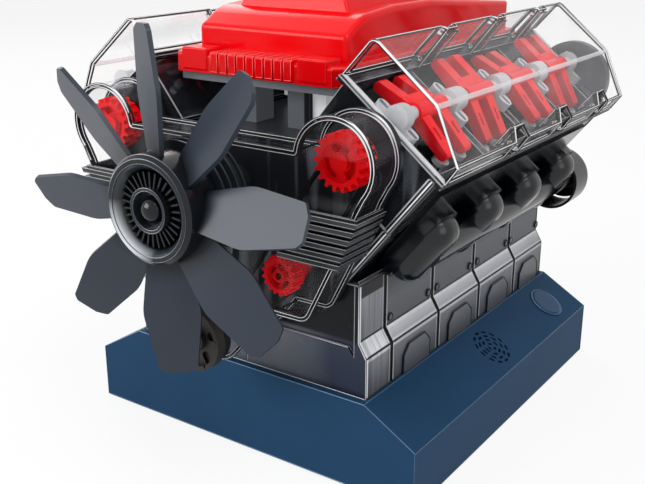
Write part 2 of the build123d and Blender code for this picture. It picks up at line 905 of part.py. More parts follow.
# Engine block: two walled banks on one deck plate
def make_engine_block():
    y0, y1 = -case_front, case_rear
    high = deck_reach
    box = on_bank(slab(-block_half, block_half, y0, y1, 0, high))
    inner_half = block_half - block_wall
    hollow = on_bank(slab(-inner_half, inner_half, y0 + block_wall, y1 - block_wall, -high,
                          high - block_deck))
    right = slab(0, high * 2, y0, y1, case_deck, case_deck + high * 2)
    deck = slab(0, case_waist_half, y0, y1, case_deck, case_deck + block_deck)
    half = ((box & right) + deck) - hollow
    bores = [on_bank(rod_z(0, y, piston_radius + seat_gap + liner_wall + seat_gap, high - 2 * block_deck,
                           high + cut_over))
             for y in cylinder_ys]
    half = half - bores
    return half + flipped(half)


def make_liners():
    inner = piston_radius + seat_gap
    liners = []
    for y in cylinder_ys:
        tube = rod_z(0, y, inner + liner_wall, liner_low_reach, deck_reach)
        bore = rod_z(0, y, inner, liner_low_reach - cut_over, deck_reach + cut_over)
        right = on_bank(tube - bore)
        liners += [right, flipped(right)]
    return group(liners)


# Cylinder head, right bank
def make_head():
    y0, y1 = -case_front, case_rear
    wall = head_wall
    body = slab(head_inner, head_outer, y0, y1, deck_reach, head_top_reach)
    body = body + slab(head_lip_inner, head_lip_outer, y0, y1, head_top_reach - head_lip_thick,
                       head_top_reach)
    space = slab(head_inner + wall, head_outer - wall, y0 + wall, y1 - wall,
                 deck_reach + head_floor, head_top_reach + cut_over)
    body = body - space
    slot = 2 * (cam_shaft_radius + shaft_gap)
    for y in cap_ys:
        half = bulkhead_thick / 2
        web = slab(head_inner + wall / 2, head_outer - wall / 2, y - half, y + half,
                   deck_reach + head_floor / 2, bulkhead_top_reach)
        web = web - slab(cam_offset - slot / 2, cam_offset + slot / 2, y - bulkhead_thick,
                         y + bulkhead_thick,
                         cam_reach, head_top_reach)
        body = body + web
    body = body - rod_y(cam_offset, cam_reach, cam_shaft_radius + shaft_gap, y0 - cut_over,
                        cap_ys[4] + bulkhead_thick)
    for y in arm_ys():
        guide = rod_z(arm_outer_offset, y, valve_guide_radius, deck_reach + head_floor / 2,
                      deck_reach + head_floor + valve_guide_height)
        hole = rod_z(arm_outer_offset, y, valve_stem_radius + shaft_gap, deck_reach - cut_over,
                     head_top_reach)
        body = body + guide - hole
    for x, y in cover_screw_places():
        body = body - rod_z(x, y, screw_hole_radius, head_top_reach - 2 * head_lip_thick,
                            head_top_reach + cut_over)
    return on_bank(body)


def arm_ys():
    return [y + side * arm_half_pitch for y in cylinder_ys for side in (-1, 1)]


def cover_boss_offsets():
    return (head_lip_inner + cover_boss_radius - cover_wall / 2,
            head_lip_outer - cover_boss_radius + cover_wall / 2)


def cover_screw_ys():
    return [-cover_screw_first + k * cover_screw_pitch for k in range(cover_screw_count)]


def cover_screw_places():
    return [(x, y) for x in cover_boss_offsets() for y in cover_screw_ys()]


# Valve cover, right bank
def cover_section(inset):
    section = outline([
        (head_lip_inner, head_top_reach),
        (head_lip_outer, head_top_reach),
        (head_lip_outer, cover_shoulder_reach),
        (cover_ridge_offset, cover_ridge_reach),
        (cover_top_inner, cover_top_reach),
    ])
    top = [v for v in section.vertices() if v.Y > cover_shoulder_reach + cut_over]
    section = fillet(top, cover_round)
    return offset(section, amount=-inset) if inset else section


def cover_notches(grow):
    notches = []
    for y in cover_screw_ys():
        plan = outline([
            (head_lip_inner - cut_over, y - notch_half - grow),
            (head_lip_inner - cut_over, y + notch_half + grow),
            (head_lip_inner + notch_depth + grow, y + notch_floor_half + grow),
            (head_lip_inner + notch_depth + grow, y - notch_floor_half - grow),
        ])
        notches.append(push_z(plan, head_top_reach - cut_over, cover_top_reach + cut_over))
        plan = outline([
            (head_lip_outer + cut_over, y - notch_half - grow),
            (head_lip_outer + cut_over, y + notch_half + grow),
            (head_lip_outer - notch_outer_depth - grow, y + notch_floor_half + grow),
            (head_lip_outer - notch_outer_depth - grow, y - notch_floor_half - grow),
        ])
        notches.append(push_z(plan, head_top_reach - cut_over, cover_top_reach + cut_over))
    return notches


def make_valve_cover():
    y0, y1 = -cover_front, cover_rear
    wall = cover_wall
    outer = push_y(cover_section(0), y0, y1) - cover_notches(0)
    mouth = slab(head_lip_inner + wall, head_lip_outer - wall, y0 + wall, y1 - wall,
                 head_top_reach - cut_over, head_top_reach + 2 * wall)
    cavity = push_y(cover_section(wall), y0 + wall, y1 - wall) + mouth
    cavity = cavity - cover_notches(wall)
    cover = outer - cavity
    inner_x, outer_x = cover_boss_offsets()
    for y in cover_screw_ys():
        cover = cover + rod_z(inner_x, y, cover_boss_radius, head_top_reach, cover_boss_top_reach)
        cover = cover + rod_z(outer_x, y, cover_boss_radius, head_top_reach, cover_boss_low_reach)
        for x0, x1 in ((head_lip_inner, head_lip_inner + notch_depth + wall / 2),
                       (head_lip_outer - notch_outer_depth - wall / 2, head_lip_outer)):
            cover = cover + slab(x0, x1, y - cover_boss_radius, y + cover_boss_radius,
                                 head_top_reach, head_top_reach + wall)
    for x, y in cover_screw_places():
        cover = cover - rod_z(x, y, screw_hole_radius, head_top_reach - cut_over, cover_top_reach)
    return on_bank(cover)


def make_screw(x, y, seat):
    head = rod_z(x, y, screw_head_radius, seat, seat + screw_head_height)
    shank = rod_z(x, y, screw_radius, seat - screw_bite, seat + screw_head_height / 2)
    high = seat + screw_head_height
    slot = slab(x - screw_head_radius, x + screw_head_radius, y - screw_slot_width / 2,
                y + screw_slot_width / 2,
                high - screw_slot_depth, high + cut_over)
    return head + shank - slot


def make_screws():
    screws = []
    inner_x, outer_x = cover_boss_offsets()
    for y in cover_screw_ys():
        for x, seat in ((inner_x, cover_boss_top_reach), (outer_x, cover_boss_low_reach)):
            right = on_bank(make_screw(x, y, seat))
            screws += [right, flipped(right)]
    for x in (-1, 1):
        for y in (-1, 1):
            post_x = x * (base_width / 2 - base_post_inset)
            post_y = y * (base_length / 2 - base_post_inset / 2)
            shank = rod_z(post_x, post_y, screw_radius, foot_height - screw_slot_depth,
                          foot_height + base_plate_thick + screw_bite)
            head = rod_z(post_x, post_y, screw_head_radius, foot_height - screw_slot_depth, foot_height)
            screws.append(head + shank)
    return group(screws)


# Rocker gear
def make_caps():
    caps = []
    for n, y in enumerate(cap_ys):
        length = cap_end_length if n in (0, 4) else cap_length
        ring = rod_y(rocker_offset, rocker_reach, cap_radius, y - length / 2, y + length / 2)
        base = bulkhead_top_reach
        foot_half = cap_radius * cap_foot_share
        foot = slab(rocker_offset - foot_half, rocker_offset + foot_half,
                    y - length / 2, y + length / 2, base, rocker_reach)
        cap = ring + foot
        width = min(cap_ear_width, length)
        for side in (-1, 1):
            shift = y - side * cap_ear_shift * (1 if length == cap_length else 0)
            end = rocker_offset + side * cap_ear_reach - side * width / 2
            ear = slab(min(rocker_offset, end), max(rocker_offset, end), shift - width / 2,
                       shift + width / 2,
                       base, base + cap_ear_thick)
            ear = ear + rod_z(end, shift, width / 2, base, base + cap_ear_thick)
            slot = extrude(SlotOverall(cap_slot_length, cap_slot_width), amount=cap_ear_thick * 4,
                           both=True)
            ear = ear - Pos(end, shift, base) * slot
            cap = cap + ear
        cap = cap - slab(rocker_offset - 2 * cap_ear_reach, rocker_offset + 2 * cap_ear_reach,
                         y - bay_pitch / 2, y + bay_pitch / 2, base - cap_radius, base)
        cap = cap - rod_y(rocker_offset, rocker_reach, rocker_shaft_radius + gear_bore_gap, y - length,
                          y + length)
        right = on_bank(cap)
        caps += [right, flipped(right)]
    return group(caps)


def make_rocker_shafts():
    shaft = rod_y(rocker_offset, rocker_reach, rocker_shaft_radius, cap_ys[0] - cap_end_length / 2,
                  cap_ys[4] + cap_end_length / 2)
    right = on_bank(shaft)
    return group([right, flipped(right)])


def is_open(k):
    """Cylinders 2 and 4 stand with their valves pressed at rest."""
    return k in (1, 3)


def make_rocker(k):
    """Two slim bars with rounded ends, joined by a hub on the shaft and a bridge beside it."""
    y = cylinder_ys[k]
    half = arm_half_pitch + arm_width / 2 + arm_hub_over
    low = arm_thick / 2
    body = rod_y(rocker_offset, rocker_reach, arm_hub_radius, y - half, y + half)
    body = body + slab(rocker_offset - arm_bridge_reach, rocker_offset, y - arm_half_pitch,
                       y + arm_half_pitch, rocker_reach - low, rocker_reach + low / 2)
    for side in (-1, 1):
        centre = y + side * arm_half_pitch
        y0, y1 = centre - arm_width / 2, centre + arm_width / 2
        bar = outline([
            (arm_inner_offset, arm_inner_reach - arm_inner_radius),
            (rocker_offset, rocker_reach - arm_thick),
            (arm_outer_offset, arm_outer_reach - arm_outer_radius),
            (arm_outer_offset, arm_outer_reach + arm_outer_radius),
            (rocker_offset, rocker_reach + low),
            (arm_inner_offset, arm_inner_reach + arm_inner_radius),
        ])
        arm = push_y(bar, y0, y1)
        arm = arm + rod_y(arm_inner_offset, arm_inner_reach, arm_inner_radius, y0, y1)
        arm = arm + rod_y(arm_outer_offset, arm_outer_reach, arm_outer_radius, y0, y1)
        under, over = rocker_reach - bay_pitch, rocker_reach + bay_pitch
        plan = slab(arm_inner_offset, arm_outer_offset, y0, y1, under, over)
        plan = plan + rod_z(arm_inner_offset, centre, arm_width / 2, under, over)
        plan = plan + rod_z(arm_outer_offset, centre, arm_width / 2, under, over)
        arm = arm & plan
        arm = arm + slab(arm_foot_offset - arm_foot_width / 2, arm_foot_offset + arm_foot_width / 2,
                         centre - arm_width / 4, centre + arm_width / 4, arm_foot_reach, rocker_reach - low)
        middle = (rocker_offset + arm_hub_radius + arm_outer_offset) / 2
        arm = arm - slab(middle - arm_slot_length / 2, middle + arm_slot_length / 2,
                         centre - arm_slot_width / 2, centre + arm_slot_width / 2, under, over)
        body = body + arm
    body = body - rod_y(rocker_offset, rocker_reach, rocker_shaft_radius + shaft_gap, y - bay_pitch,
                        y + bay_pitch)
    if is_open(k):
        turn = Pos(rocker_offset, 0, rocker_reach) * Rot(Y=arm_open_angle) * Pos(-rocker_offset, 0,
                                                                                 -rocker_reach)
        body = turn * body
    return on_bank(body)


def make_valves(k):
    down = valve_lever * radians(arm_open_angle) if is_open(k) else 0
    top = arm_outer_reach - arm_outer_radius - valve_gap - down
    valves = []
    for side in (-1, 1):
        y = cylinder_ys[k] + side * arm_half_pitch
        cap = rod_z(arm_outer_offset, y, valve_cap_radius, top - valve_cap_thick, top)
        stem = rod_z(arm_outer_offset, y, valve_stem_radius, valve_stem_low_reach - down,
                     top - valve_cap_thick / 2)
        valves.append(on_bank(cap + stem))
    return group(valves)


# Camshaft, right bank
def lobe(y, turn):
    base = rod_y(0, 0, cam_base_radius, -cam_lobe_thick / 2, cam_lobe_thick / 2)
    tip_z = cam_lift_reach - cam_tip_radius
    tip = rod_y(0, tip_z, cam_tip_radius, -cam_lobe_thick / 2, cam_lobe_thick / 2)
    lean = (cam_base_radius - cam_tip_radius) / tip_z
    side = sqrt(1 - lean ** 2)
    flank = outline([
        (-cam_base_radius * side, cam_base_radius * lean),
        (cam_base_radius * side, cam_base_radius * lean),
        (cam_tip_radius * side, tip_z + cam_tip_radius * lean),
        (-cam_tip_radius * side, tip_z + cam_tip_radius * lean),
    ])
    body = base + tip + push_y(flank, -cam_lobe_thick / 2, cam_lobe_thick / 2)
    return Pos(cam_offset, y, cam_reach) * Rot(Y=turn) * body


def make_camshaft():
    rear = cap_ys[4] + bulkhead_thick / 2 + cut_over
    shaft = rod_y(cam_offset, cam_reach, cam_shaft_radius, -gear_front + gear_web_thick, rear)
    foot_turn = degrees(atan2(arm_foot_offset - cam_offset, arm_foot_reach - cam_reach))
    for k, y in enumerate(cylinder_ys):
        for side in (-1, 1):
            turn = foot_turn if is_open(k) else foot_turn + 180
            shaft = shaft + lobe(y + side * arm_half_pitch, turn)
    return on_bank(shaft)


def make_drums():
    y1 = cover_rear - cover_wall - seat_gap
    y0 = y1 - drum_thick
    drum = rod_y(drum_offset, drum_reach, drum_radius, y0, y1)
    recess = rod_y(drum_offset, drum_reach, drum_radius - 2 * drum_rim, y0 - cut_over, y0 + drum_rim)
    hub = rod_y(drum_offset, drum_reach, drum_radius / 2, y0, y1)
    drum = drum - recess + hub
    low = slab(drum_offset - 2 * drum_radius, drum_offset + 2 * drum_radius, y0 - cut_over, y1 + cut_over,
               drum_reach - 2 * drum_radius, head_top_reach)
    hole = rod_y(rocker_offset, rocker_reach, cap_radius + seat_gap, y0 - cut_over, y1 + cut_over)
    ears = slab(rocker_offset - cap_ear_reach - seat_gap, rocker_offset + cap_ear_reach + seat_gap,
                y0 - cut_over, y1 + cut_over, head_top_reach - cut_over, drum_seat_reach)
    foot_half = cap_radius * cap_foot_share + seat_gap
    space = slab(rocker_offset - foot_half, rocker_offset + foot_half,
                 y0 - cut_over, y1 + cut_over, head_top_reach - cut_over, rocker_reach)
    right = on_bank(drum - low - hole - ears - space)
    return group([right, flipped(right)])


# Timing case and cover
def timing_outline(inset):
    z = crank_height
    right = [
        (valley_half, z + valley_rise),
        (cam_gear_x - arch_radius * arch_side_share, z + cam_gear_rise + arch_radius * arch_side_share),
        (cam_gear_x, z + cam_gear_rise),
        (cam_gear_x + arch_radius * arch_low_shares[0],
         z + cam_gear_rise - arch_radius * arch_low_shares[1]),
        (flank_x, z + flank_rise),
        (corner_x, z + corner_rise),
        (low_corner_x, z + low_edge_rise),
    ]
    left = [(-x, h) for x, h in reversed(right)]
    face = outline(right + left)
    corners = [v for v in face.vertices() if v.Y < z + low_edge_rise + shaft_gap]
    face = fillet(corners, timing_round)
    arch = Pos(cam_gear_x, z + cam_gear_rise) * Circle(arch_radius)
    face = face + arch + Pos(-cam_gear_x, z + cam_gear_rise) * Circle(arch_radius)
    face = face + Pos(0, z) * Circle(tongue_radius)
    reach = hypot(low_edge_x, low_edge_rise)
    turn = atan2(low_edge_rise, low_edge_x) - acos(tongue_radius / reach)
    touch_x, touch_z = tongue_radius * cos(turn), tongue_radius * sin(turn)
    face = face + outline([
        (-low_edge_x, z + low_edge_rise), (low_edge_x, z + low_edge_rise),
        (touch_x, z + touch_z), (-touch_x, z + touch_z)])
    return offset(face, amount=-inset) if inset else face


def make_timing_case():
    y1 = -case_front
    y0 = y1 - timing_plate_thick
    case = push_y(timing_outline(0), y0, y1)
    z = crank_height
    for side in (-1, 1):
        stud = rod_y(side * idler_x, z + idler_rise, idler_stud_radius, -gear_front + gear_web_thick / 2,
                     y1 - timing_wall)
        case = case + stud
        case = case - rod_y(side * cam_gear_x, z + cam_gear_rise, cam_shaft_radius + seat_gap,
                            y0 - cut_over, y1 + cut_over)
    case = case - rod_y(0, z, journal_radius + seat_gap, y0 - cut_over, y1 + cut_over)
    boss = rod_y(0, fan_height, fan_boss_radius, y0 - fan_boss_length, y0)
    bore = rod_y(0, fan_height, fan_shaft_radius + shaft_gap, y0 - fan_boss_length - cut_over,
                 y1 + cut_over)
    return case + boss - bore


def make_timing_cover():
    y1 = -case_front - timing_plate_thick
    y0 = -timing_front
    cover = push_y(timing_outline(0), y0, y1)
    cover = cover - push_y(timing_outline(timing_wall), y0 + timing_wall, y1 + cut_over)
    rim = push_y(timing_outline(0), y0 - timing_rim_rise, y0)
    rim = rim - push_y(timing_outline(timing_rim), y0 - timing_rim_rise - cut_over, y0)
    cover = cover + rim
    boss = rod_y(0, fan_height, fan_boss_radius, y0 - fan_boss_length, y0 + timing_wall)
    cover = cover + boss
    for x, height, radius in ((0, fan_height, fan_shaft_radius), (0, crank_height, journal_radius)):
        cover = cover - rod_y(x, height, radius + shaft_gap, y0 - 2 * fan_boss_length, y0 + 2 * timing_wall)
    return cover


def flank_at(height):
    """X of the timing cover's flank at a height above the crank."""
    share = (height - corner_rise) / (flank_rise - corner_rise)
    return corner_x + share * (flank_x - corner_x)


def make_fin_block():
    y1 = -case_front - timing_plate_thick
    y0 = -timing_front - timing_rim_rise
    z = crank_height
    low, high = fin_low_rise, fin_high_rise

    def shell(front, side_out):
        plate = outline([
            (fin_inner_x, z + low),
            (flank_at(low) + side_out, z + low),
            (flank_at(high) + side_out, z + high),
            (fin_inner_x + (high - low) / 3, z + high),
            (fin_inner_x, z + high - (high - low) / 3),
        ])
        side = outline([
            (flank_at(low) + seat_gap, z + low),
            (flank_at(low) + side_out, z + low),
            (flank_at(high) + side_out, z + high),
            (flank_at(high) + seat_gap, z + high),
        ])
        return push_y(plate, y0 - front, y0) + push_y(side, y0 - front, y1)

    core = shell(fin_core, fin_core + seat_gap)
    full = shell(fin_front_thick, fin_side_thick)
    step = (high - low) / fin_count
    block = core
    for k in range(fin_count):
        z0 = z + low + (k + (1 - fin_share) / 2) * step
        band = slab(0, 2 * flank_x, y0 - 2 * fin_front_thick, y1, z0, z0 + step * fin_share)
        block = block + (full & band)
    return block


# Gears
def toothed(radius, depth, teeth, y0, y1, turn=0):
    """A spur gear about the Y axis, from straight-sided teeth on a plain disc."""
    pitch = 360 / teeth
    root = radius - depth
    points = []
    for k in range(teeth):
        start = turn + k * pitch
        for share, tip in tooth_shares:
            angle = radians(start + share * pitch)
            r = radius if tip else root
            points.append((r * cos(angle), r * sin(angle)))
    return push_y(outline(points), y0, y1)


def sector(inner, outer, angle, spread, y0, y1):
    """A sector of a ring about the Y axis, for the holes in a gear's web."""
    reach = outer / cos(radians(spread / 2))
    a, b = radians(angle - spread / 2), radians(angle + spread / 2)
    wedge = outline([(0, 0), (reach * cos(a), reach * sin(a)), (reach * cos(b), reach * sin(b))])
    return push_y((Circle(outer) - Circle(inner)) & wedge, y0, y1)


def make_cam_gear():
    y0 = -gear_front
    back = -case_front - timing_plate_thick - seat_gap
    mid = y0 + gear_row_thick
    row_two = mid + gear_rows_gap
    gear = toothed(cam_gear_radius, gear_tooth_depth, cam_gear_teeth, y0, mid)
    root = cam_gear_radius - gear_tooth_depth
    gear = gear + rod_y(0, 0, root - gear_tooth_depth / 4, mid, row_two)
    gear = gear + toothed(cam_gear_radius, gear_tooth_depth, cam_gear_teeth, row_two,
                          row_two + gear_row_thick, 180 / cam_gear_teeth)
    recess = rod_y(0, 0, root - gear_rim_wall, y0 - cut_over, y0 + gear_web_thick)
    recess = recess - rod_y(0, 0, gear_hub_radius, y0, y0 + gear_web_thick)
    gear = gear - recess
    gear = gear + rod_y(0, 0, cam_sprocket_radius, row_two + gear_row_thick, back)
    inner, outer = gear_hub_radius + gear_hole_gap, root - gear_rim_wall - gear_hole_gap
    for k in range(3):
        gear = gear - sector(inner, outer, 120 * k + 90, gear_hole_spread, y0 - cut_over, mid)
    gear = gear - rod_y(0, 0, cam_shaft_radius + gear_bore_gap, y0 + gear_web_thick, back + cut_over)
    return Pos(cam_gear_x, 0, crank_height + cam_gear_rise) * gear


def make_idler_gear():
    y0 = -gear_front
    back = -case_front - timing_plate_thick - seat_gap
    rear = y0 + idler_gear_thick
    gear = toothed(idler_gear_radius, idler_tooth_depth, idler_gear_teeth, y0, rear)
    rim = idler_gear_radius - idler_tooth_depth - gear_rim_wall
    recess = rod_y(0, 0, rim, y0 - cut_over, y0 + gear_web_thick)
    recess = recess - rod_y(0, 0, gear_hub_radius * small_hub_share, y0, y0 + gear_web_thick)
    gear = gear - recess
    gear = gear + rod_y(0, 0, idler_sprocket_radius, rear, back)
    inner, outer = gear_hub_radius * small_hub_share + gear_hole_gap, rim - gear_hole_gap
    for k in range(5):
        gear = gear - sector(inner, outer, 72 * k + 90, idler_hole_spread, y0 - cut_over, rear)
    gear = gear - rod_y(0, 0, idler_stud_radius + shaft_gap, y0 - cut_over, back + cut_over)
    return Pos(idler_x, 0, crank_height + idler_rise) * gear


# Belts: each lies a seat gap off the wheels that it runs round
def belt_loop(wheels, y0, y1):
    def hull(grow):
        edges = []
        for x, z, radius in wheels:
            edges += (Pos(x, z) * Circle(radius + grow)).edges()
        return make_hull(edges)

    ring = hull(seat_gap + belt_thick)
    hole = hull(seat_gap)
    return push_y(ring, y0, y1) - push_y(hole, y0 - cut_over, y1 + cut_over)


def make_belts():
    z = crank_height
    back = -case_front - timing_plate_thick - seat_gap
    right = [(0, z, crank_sprocket_radius), (idler_x, z + idler_rise, idler_sprocket_radius),
             (cam_gear_x, z + cam_gear_rise, cam_sprocket_radius)]
    left = [(-x, h, r) for x, h, r in right]
    rear_plane = back - belt_width
    front_plane = rear_plane - belt_plane_gap - belt_width
    loops = [belt_loop(right, front_plane, front_plane + belt_width), belt_loop(left, rear_plane, back)]
    fan_loop = [(0, crank_height, crank_groove_radius), (0, fan_height, fan_drum_groove_radius)]
    y0 = groove_y(groove_count - 1) + seat_gap
    loops.append(belt_loop(fan_loop, y0, y0 + fan_belt_width))
    return group(loops)


def groove_y(k):
    """Front face of groove k: 0 is the pulley's first, and the fan drum has more in front of it."""
    return k * groove_pitch - groove_front


def groove_ring(height, radius, floor, k):
    """What is cut from a wheel's rim for groove k."""
    y0 = groove_y(k)
    y1 = y0 + fan_belt_width + 2 * seat_gap
    return rod_y(0, height, radius + cut_over, y0, y1) - rod_y(0, height, floor, y0, y1)


def make_crank_pulley():
    y0 = -pulley_front
    y1 = y0 + pulley_thick
    disc = rod_y(0, crank_height, pulley_radius, y0, y1)
    recess = rod_y(0, crank_height, pulley_radius - pulley_rim, y0 - cut_over, y1 - pulley_web_thick)
    recess = recess - rod_y(0, crank_height, journal_radius + pulley_rim, y0, y1)
    disc = disc - recess
    ring = (journal_radius + pulley_radius) / 2
    for k in range(pulley_hole_count):
        turn = 360 / pulley_hole_count * k
        drop = Circle(pulley_hole_radius) + outline([
            (-pulley_hole_radius, 0), (pulley_hole_radius, 0), (pulley_hole_radius, pulley_hole_length)])
        hole = push_y(Pos(0, ring) * drop, y0 - cut_over, y1 - pulley_web_thick / 3)
        disc = disc - Pos(0, 0, crank_height) * Rot(Y=turn) * hole
    radius = crank_groove_radius + groove_depth
    back = rod_y(0, crank_height, radius, y1, groove_y(groove_count))
    wheel = disc + back - [groove_ring(crank_height, radius, crank_groove_radius,
                                       k) for k in range(groove_count)]
    return wheel - rod_y(0, crank_height, journal_radius + gear_bore_gap, y0 - cut_over,
                         y0 + 4 * pulley_thick)


# Fan
def blade():
    """One paddle blade pointing up, its chord turned by the pitch."""
    plan = outline([
        (-fan_root_half, fan_hub_back_radius - fan_blade_thick),
        (fan_root_half, fan_hub_back_radius - fan_blade_thick),
        (fan_neck_half, fan_neck_radius),
        (fan_belly_half, fan_belly_radius),
        (fan_tip_half, fan_tip_radius - fan_tip_cut),
        (fan_tip_half - fan_tip_cut, fan_tip_radius),
        (-fan_tip_half + 2 * fan_tip_cut, fan_tip_radius),
        (-fan_tip_half, fan_tip_radius - fan_tip_cut),
        (-fan_belly_half, fan_belly_radius),
        (-fan_neck_half, fan_neck_radius),
    ])
    tips = [v for v in plan.vertices() if v.Y > fan_tip_radius - fan_tip_cut - shaft_gap]
    plan = fillet(tips, fan_tip_round)
    bellies = [v for v in plan.vertices() if fan_neck_radius - shaft_gap < v.Y < fan_belly_radius + shaft_gap]
    plan = fillet(bellies, fan_belly_round)
    sheet = push_y(plan, -fan_blade_thick / 2, fan_blade_thick / 2)
    return Pos(0, -fan_blade_y, 0) * Rot(Z=-fan_blade_pitch) * sheet


def make_fan():
    front, back = -fan_front, -fan_back
    floor = front + fan_recess
    profile = outline([
        (0, back),
        (fan_hub_back_radius, back),
        (fan_hub_radius, floor),
        (fan_hub_radius, front + fan_lip_round),
        (fan_hub_radius - fan_lip_round, front),
        (fan_lip_radius + fan_lip_bevel, front),
        (fan_lip_radius, front + fan_lip_bevel),
        (fan_cone_radius, floor),
        (fan_ring_radius, floor),
        (fan_ring_radius, floor - fan_ring_height),
        (fan_ring_radius - fan_ring_wall, floor - fan_ring_height),
        (fan_ring_radius - fan_ring_wall, floor - fan_ring_floor),
        (0, floor - fan_ring_floor),
    ])
    hub = revolve(profile, axis=Axis.Y)
    nose = Pos(0, floor - fan_ring_floor, 0) * Sphere(fan_nose_radius)
    fan = hub + (nose & rod_y(0, 0, fan_nose_radius * 2, front - fan_nose_radius, floor))
    for k in range(fan_fin_count):
        fin = slab(-fan_fin_thick / 2, fan_fin_thick / 2, floor - fan_fin_height,
                   floor + fan_fin_thick, fan_fin_inner - fan_fin_thick / 2, fan_fin_outer)
        fan = fan + Rot(Y=360 / fan_fin_count * k) * fin
    for k in range(fan_blades):
        turn = 90 - fan_blade_turn - 360 / fan_blades * k
        fan = fan + Rot(Y=turn) * blade()
    fan = fan - rod_y(0, 0, fan_shaft_radius + gear_bore_gap, floor + fan_bore_floor, back + cut_over)
    return Pos(0, 0, fan_height) * fan


def make_fan_shaft():
    front = -fan_front + fan_recess + fan_bore_floor
    rear = -case_front - seat_gap
    back = groove_y(groove_count)
    shaft = rod_y(0, fan_height, fan_shaft_radius, front, rear)
    drum = rod_y(0, fan_height, fan_drum_radius, -fan_drum_front, back)
    for k in range(groove_count - fan_drum_grooves, groove_count):
        drum = drum - groove_ring(fan_height, fan_drum_radius, fan_drum_groove_radius, k)
    return shaft + drum


# Exhaust manifold, right bank
def make_boot(y):
    """One port's boot: a pillow that stands out from its collar."""
    x0 = head_outer
    half = boot_width / 2
    low, high = deck_reach - boot_low, deck_reach + boot_high
    boot = slab(x0, x0 + boot_depth, y - half, y + half, low, high)
    boot = fillet(boot.edges().filter_by(Axis.X), boot_side_round)
    boot = fillet(boot.edges().group_by(Axis.X)[-1], boot_edge_round)
    half = half + collar_rise
    collar = slab(x0, x0 + collar_depth, y - half, y + half, low - collar_rise, high + collar_high_rise)
    return boot + fillet(collar.edges().filter_by(Axis.X), collar_round)


def make_exhaust():
    y_first, y_last = cylinder_ys[0], cylinder_ys[3]
    x0 = head_outer
    body = slab(x0, x0 + port_flange_thick, y_first - port_flange_end, y_last + port_flange_end,
                deck_reach + port_flange_low, deck_reach + port_flange_high)
    body = body + rod_y(collector_offset, collector_reach, collector_radius, y_first,
                        bell_rear - bell_wall / 2)
    bell = rod_y(collector_offset, collector_reach, bell_radius, bell_front, bell_rear)
    bell = fillet(bell.edges().group_by(Axis.Y)[-1], bell_round)
    cup = rod_y(collector_offset, collector_reach, bell_radius - bell_wall, bell_front - cut_over,
                bell_rear - bell_wall)
    body = body + (bell - cup)
    for y in cylinder_ys:
        body = body + make_boot(y)
    keep = slab(x0, x0 + 2 * bell_radius, -case_front, case_rear, 0, head_top_reach)
    deck_edge = slab(0, case_waist_half + seat_gap, -case_front, case_rear, 0,
                     case_deck + block_deck + seat_gap)
    return on_bank(body & keep) - deck_edge


# Intake
def intake_plan(inset):
    half = intake_half
    c = intake_chamfer
    front, rear = -intake_front, intake_rear
    plan = outline([
        (-half, front + c), (-half + c, front), (half - c, front), (half, front + c),
        (half, rear - c), (half - c, rear), (-half + c, rear), (-half, rear - c),
    ])
    return offset(plan, amount=-inset) if inset else plan


def plenum_side(drop):
    z = intake_low_height
    face = outline([
        (-plenum_front + drop, z + intake_ledge_height / 2),
        (-plenum_front + drop, z + plenum_nose_height - drop),
        (-plenum_shoulder_y, z + plenum_shoulder_height - drop),
        (-plenum_crown_y, z + plenum_crown_height - drop),
        (0, z + plenum_crown_height - drop),
        (plenum_rear - drop, z + plenum_tail_height - drop),
        (plenum_rear - drop, z + intake_ledge_height / 2),
    ])
    shoulder = -plenum_shoulder_y - shaft_gap
    high = z + intake_ledge_height
    nose = [v for v in face.vertices() if v.X < shoulder and v.Y > high]
    face = fillet(nose, plenum_nose_round)
    top = [v for v in face.vertices() if shoulder < v.X < shaft_gap and v.Y > high]
    return fillet(top, plenum_top_round)


